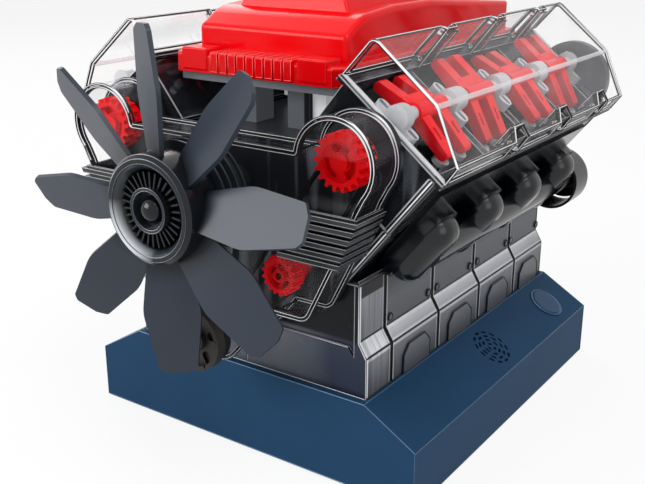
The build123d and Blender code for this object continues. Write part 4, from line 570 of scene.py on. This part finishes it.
def soften(node, width):
    """Rounds a node's sharp edges by a small radius, in millimetres."""
    bevel = NODES[node].modifiers.new("soften", "BEVEL")
    bevel.width = width * MM
    bevel.segments = 2
    bevel.limit_method = "ANGLE"
    bevel.angle_limit = math.radians(SOFT_ANGLE)
    bevel.use_clamp_overlap = True
    bevel.harden_normals = True


for node, material in LOOKS.items():
    paint(node, material)
for node in NODES:
    if node.startswith(("pistons_", "valves_")):
        paint(node, cap_grey)
    if node.startswith(("rocker_right_", "rocker_left_")):
        paint(node, rocker_red)
        soften(node, 0.5)
soften("base_shell", 0.9)
soften("rocker_caps", 0.4)
soften("fan", 0.35)


# Rods
def body_of(node):
    return NODES[node].parent.name.removeprefix("body:")


def new_rods(name, radius, roundness):
    """A curve whose lines become round rods of this radius, in millimetres."""
    curve = bpy.data.curves.new(name, "CURVE")
    curve.dimensions = "3D"
    curve.bevel_depth = radius * MM
    curve.bevel_resolution = roundness
    curve.use_fill_caps = True
    return curve


def add_rod(curve, places, widths):
    """One rod through these places, with its width at each as a share of the full width."""
    spline = curve.splines.new("POLY")
    spline.points.add(len(places) - 1)
    for point, place, width in zip(spline.points, places, widths):
        point.co = (*place, 1)
        point.radius = width


def place_rods(curve, name, node, material):
    """Puts the rods on the body of the node that they belong to."""
    piece = bpy.data.objects.new(name, curve)
    curve.materials.append(material)
    bpy.context.collection.objects.link(piece)
    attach(piece, body_of(node))


# Thick edges of the clear mouldings
WELD_GAP = 0.01
TURN_LIMIT = math.radians(40)


def sharp_edges(mesh, angle, convex):
    """Each vertex on a sharp edge, with the sharp edges that meet there."""
    limit = math.radians(angle)
    sharp = {}
    for edge in mesh.edges:
        if len(edge.link_faces) == 2 and edge.calc_face_angle(0) > limit and edge.is_convex == convex:
            for vert in edge.verts:
                sharp.setdefault(vert, []).append(edge)
    return sharp


def way_out(vert):
    """The direction out of the solid at a vertex."""
    return sum((face.normal for face in vert.link_faces), Vector()).normalized()


def walk(vert, edge, sharp, used):
    """The vertices along a chain of sharp edges, as far as it runs on without a fork or a corner."""
    points = [vert]
    while edge is not None:
        used.add(edge)
        ahead = edge.other_vert(vert)
        way = (ahead.co - vert.co).normalized()
        points.append(ahead)
        vert = ahead
        edge = None
        if len(sharp[vert]) == 2:
            for other in sharp[vert]:
                turn = (other.other_vert(vert).co - vert.co).normalized()
                if other not in used and way.dot(turn) > math.cos(TURN_LIMIT):
                    edge = other
    return points


def sharp_runs(node, angle, convex):
    """The node's sharp edges as chains of points, each with the direction out of the solid."""
    mesh = bmesh.new()
    mesh.from_mesh(NODES[node].data)
    bmesh.ops.remove_doubles(mesh, verts=mesh.verts, dist=WELD_GAP * MM)
    sharp = sharp_edges(mesh, angle, convex)
    used = set()
    runs = []
    ends_first = [vert for vert in sharp if len(sharp[vert]) != 2] + list(sharp)
    for vert in ends_first:
        for edge in sharp[vert]:
            if edge not in used:
                points = walk(vert, edge, sharp, used)
                runs.append([(point.co.copy(), way_out(point)) for point in points])
    mesh.free()
    return runs


def inside(place, radius):
    """Keeps a rod of this radius, in millimetres, within the solids' own box."""
    room = radius * MM
    return Vector([min(max(v, low + room), high - room) for v, low, high in zip(place, cad_low, cad_high)])


def add_rims(node, name, material, radius, angle=30.0, shortest=8.0, convex=True, sink=0.5, keep=None):
    """Rounds a moulding's sharp edges with rods of plastic, sunk a share of their radius into the wall."""
    curve = new_rods(name, radius, roundness=2)
    for run in sharp_runs(node, angle, convex):
        length = sum((b[0] - a[0]).length for a, b in zip(run, run[1:]))
        if length >= shortest * MM and (keep is None or keep(run)):
            places = [inside(place - out * (radius * sink * MM), radius) for place, out in run]
            add_rod(curve, places, [1.0] * len(places))
    place_rods(curve, name, node, material)


HUB_FACE_RADIUS = 28.5
HUB_FACE_Y = -182.0
CASE_FACE_Y = -112.0


def on_hub_face(run):
    return all(
        math.hypot(place.x, place.z - FAN_AXIS_Z) < HUB_FACE_RADIUS * MM and place.y < HUB_FACE_Y * MM
        for place, out in run)


def on_front(run):
    return all(place.y < CASE_FACE_Y * MM for place, out in run)


def behind_front(run):
    return not on_front(run)


# Bars and folds of the banks: places across and outwards, and spans along, in millimetres; ends as shares
BAR_RADIUS = 2.7
BAR_ACROSS = 30.6
BAR_ALONG = -114.2
BAR_TAPER = 0.8
BAR_END = 0.72
BLOCK_BAR = (60.0, 107.2)
HEAD_BAR = (108.4, 146.0)
TOP_FOLD = (-35.9, 172.6)
TOP_FOLD_SPANS = ((-112.2, -45.4), (-34.6, 15.0), (26.0, 75.6), (86.4, 114.0))
RIDGE_FOLD = (8.2, 171.9)
RIDGE_FOLD_SPANS = ((-112.0, 113.8),)
FOLD_TAPER = 1.0
FOLD_END = 0.5


def bank_place(side, across, reach, along):
    """A point of a bank: across it, outwards from the crank, and along the engine, in millimetres."""
    x = reach * math.sin(BANK_TILT) + across * math.cos(BANK_TILT)
    z = reach * math.cos(BANK_TILT) - across * math.sin(BANK_TILT)
    return Vector((side * x * MM, along * MM, CRANK_AXIS_Z + z * MM))


def with_tapers(first, last, taper):
    return first, first + taper, last - taper, last


def add_front_bar(side, name, node, span):
    """A thick rounded bar of clear plastic up the front outer corner of a bank, banded with painted
    reflections.
    """
    curve = new_rods(name, BAR_RADIUS, roundness=5)
    places = [bank_place(side, BAR_ACROSS, reach, BAR_ALONG) for reach in with_tapers(*span, BAR_TAPER)]
    add_rod(curve, places, (BAR_END, 1.0, 1.0, BAR_END))
    place_rods(curve, name, node, bar_clear)


def add_fold(side, name, node, fold, spans, material, radius):
    """A rounded fold of a valve cover, between the screw notches, picked out by a painted highlight along it.
    """
    curve = new_rods(name, radius, roundness=3)
    for span in spans:
        places = [bank_place(side, *fold, along) for along in with_tapers(*span, FOLD_TAPER)]
        add_rod(curve, places, (FOLD_END, 1.0, 1.0, FOLD_END))
    place_rods(curve, name, node, material)


for side, word in SIDES:
    cover = "valve_cover_" + word
    case = "crankcase_" + word
    # Rods along the sharp edges carry painted highlight and shade; the black inner rims are painted shade
    # along the creases.
    add_rims(cover, "cover_rim_" + word, rim_light, radius=0.72, angle=18.0)
    add_rims(cover, "cover_inner_rim_" + word, rim_black, radius=0.55, convex=False, sink=0.0)
    add_rims("head_" + word, "head_rim_" + word, rim_dark, radius=0.55)
    add_rims(case, "case_groove_rim_" + word, rim_black, radius=0.45, keep=behind_front)
    add_rims(case, "case_front_rim_" + word, rim_case, radius=0.45, shortest=12.0, keep=on_front)
add_rims("timing_cover", "timing_rim", rim_smoke, radius=0.7)
# The black inner rim is painted shade along the cover's creases.
add_rims("timing_cover", "timing_inner_rim", rim_black, radius=0.6, convex=False, sink=0.0)
add_rims("engine_block", "block_rim", rim_dark, radius=0.6, shortest=15.0)
for side, word in SIDES:
    cover = "valve_cover_" + word
    add_fold(side, "cover_top_fold_" + word, cover, TOP_FOLD, TOP_FOLD_SPANS, rim_light, radius=0.75)
    # The ridge fold is a painted highlight: a pale, half-clear rod along the fold.
    add_fold(side, "cover_ridge_fold_" + word, cover, RIDGE_FOLD, RIDGE_FOLD_SPANS, fold_haze, radius=1.35)
    add_front_bar(side, "front_bar_block_" + word, "engine_block", BLOCK_BAR)
    add_front_bar(side, "front_bar_head_" + word, "head_" + word, HEAD_BAR)
# Rods with painted highlights along the edges of the hub face, fins, intake cover and base.
add_rims("fan", "hub_rim", rim_hub, radius=0.3, angle=28.0, shortest=20.0, sink=0.8, keep=on_hub_face)
add_rims("fin_blocks", "fin_rim", rim_dark, radius=0.28, shortest=4.0)
add_rims("intake_cover", "intake_rim", rim_red, radius=0.32, angle=24.0, shortest=3.0, sink=0.9)
add_rims("base_shell", "base_rim", rim_navy, radius=0.4, angle=24.0, shortest=20.0, sink=0.8)


# Stage and light, in metres
FLOOR_HALF = 6.0
FLOOR_DROP = 0.0001
FLOOR_GREY = 0.92
FLOOR_WHITE = 0.86
WORLD_LIGHT = 0.34
LAMPS_AIM = (0.0, 0.0, 0.13)

# Each lamp's name, place and size in metres, and power in watts
LAMPS = (
    ("key", (-1.0, -1.55, 0.95), (1.3, 0.9), 27.0),
    ("fill", (1.7, -0.5, 0.9), (1.0, 1.0), 5.0),
    ("back", (-1.3, 0.9, 1.2), (1.0, 0.8), 8.0),
    ("top", (0.7, -0.3, 1.75), (1.0, 1.0), 15.0),
)


def seen_share(tree):
    """1 for what the camera, a reflection or a clear piece sees, and 0 for the light given off."""
    path = tree.nodes.new("ShaderNodeLightPath")
    seen = math_value(tree, "MAXIMUM", path.outputs["Is Camera Ray"], path.outputs["Is Glossy Ray"])
    return math_value(tree, "MAXIMUM", seen, path.outputs["Is Transmission Ray"])


def floor_white():
    """A pale floor that still takes the object's shadow, and looks nearly white."""
    material = bpy.data.materials.new("floor_white")
    material.use_nodes = True
    tree = material.node_tree
    tree.nodes.clear()
    out = tree.nodes.new("ShaderNodeOutputMaterial")
    mix = tree.nodes.new("ShaderNodeMixShader")
    diffuse = add_node(tree, "BsdfDiffuse", {"Color": (FLOOR_GREY,) * 3})
    glow = add_node(tree, "Emission", {"Color": (1.0,) * 3, "Strength": 1.0})
    tree.links.new(math_value(tree, "MULTIPLY", seen_share(tree), FLOOR_WHITE), mix.inputs["Fac"])
    tree.links.new(diffuse.outputs[0], mix.inputs[1])
    tree.links.new(glow.outputs[0], mix.inputs[2])
    tree.links.new(mix.outputs[0], out.inputs["Surface"])
    return material


def add_floor():
    corners = [(x * FLOOR_HALF, y * FLOOR_HALF, 0) for x, y in ((-1, -1), (1, -1), (1, 1), (-1, 1))]
    mesh = bpy.data.meshes.new("floor")
    mesh.from_pydata(corners, [], [(0, 1, 2, 3)])
    mesh.materials.append(floor_white())
    floor = bpy.data.objects.new("floor", mesh)
    floor.location.z = -FLOOR_DROP
    bpy.context.collection.objects.link(floor)


def add_world():
    world = bpy.data.worlds.new("world")
    bpy.context.scene.world = world
    world.use_nodes = True
    tree = world.node_tree
    feed(tree, tree.nodes["Background"], {
        "Color": (1.0,) * 3,
        "Strength": ranged(tree, seen_share(tree), WORLD_LIGHT, 1.0),
    })


def add_lamp(name, place, size, power):
    data = bpy.data.lights.new(name, "AREA")
    data.shape = "RECTANGLE"
    data.size, data.size_y = size
    data.energy = power
    lamp = bpy.data.objects.new(name, data)
    lamp.location = place
    lamp.rotation_mode = "QUATERNION"
    lamp.rotation_quaternion = (Vector(LAMPS_AIM) - Vector(place)).to_track_quat("-Z", "Y")
    bpy.context.collection.objects.link(lamp)


add_floor()
add_world()
for lamp in LAMPS:
    add_lamp(*lamp)
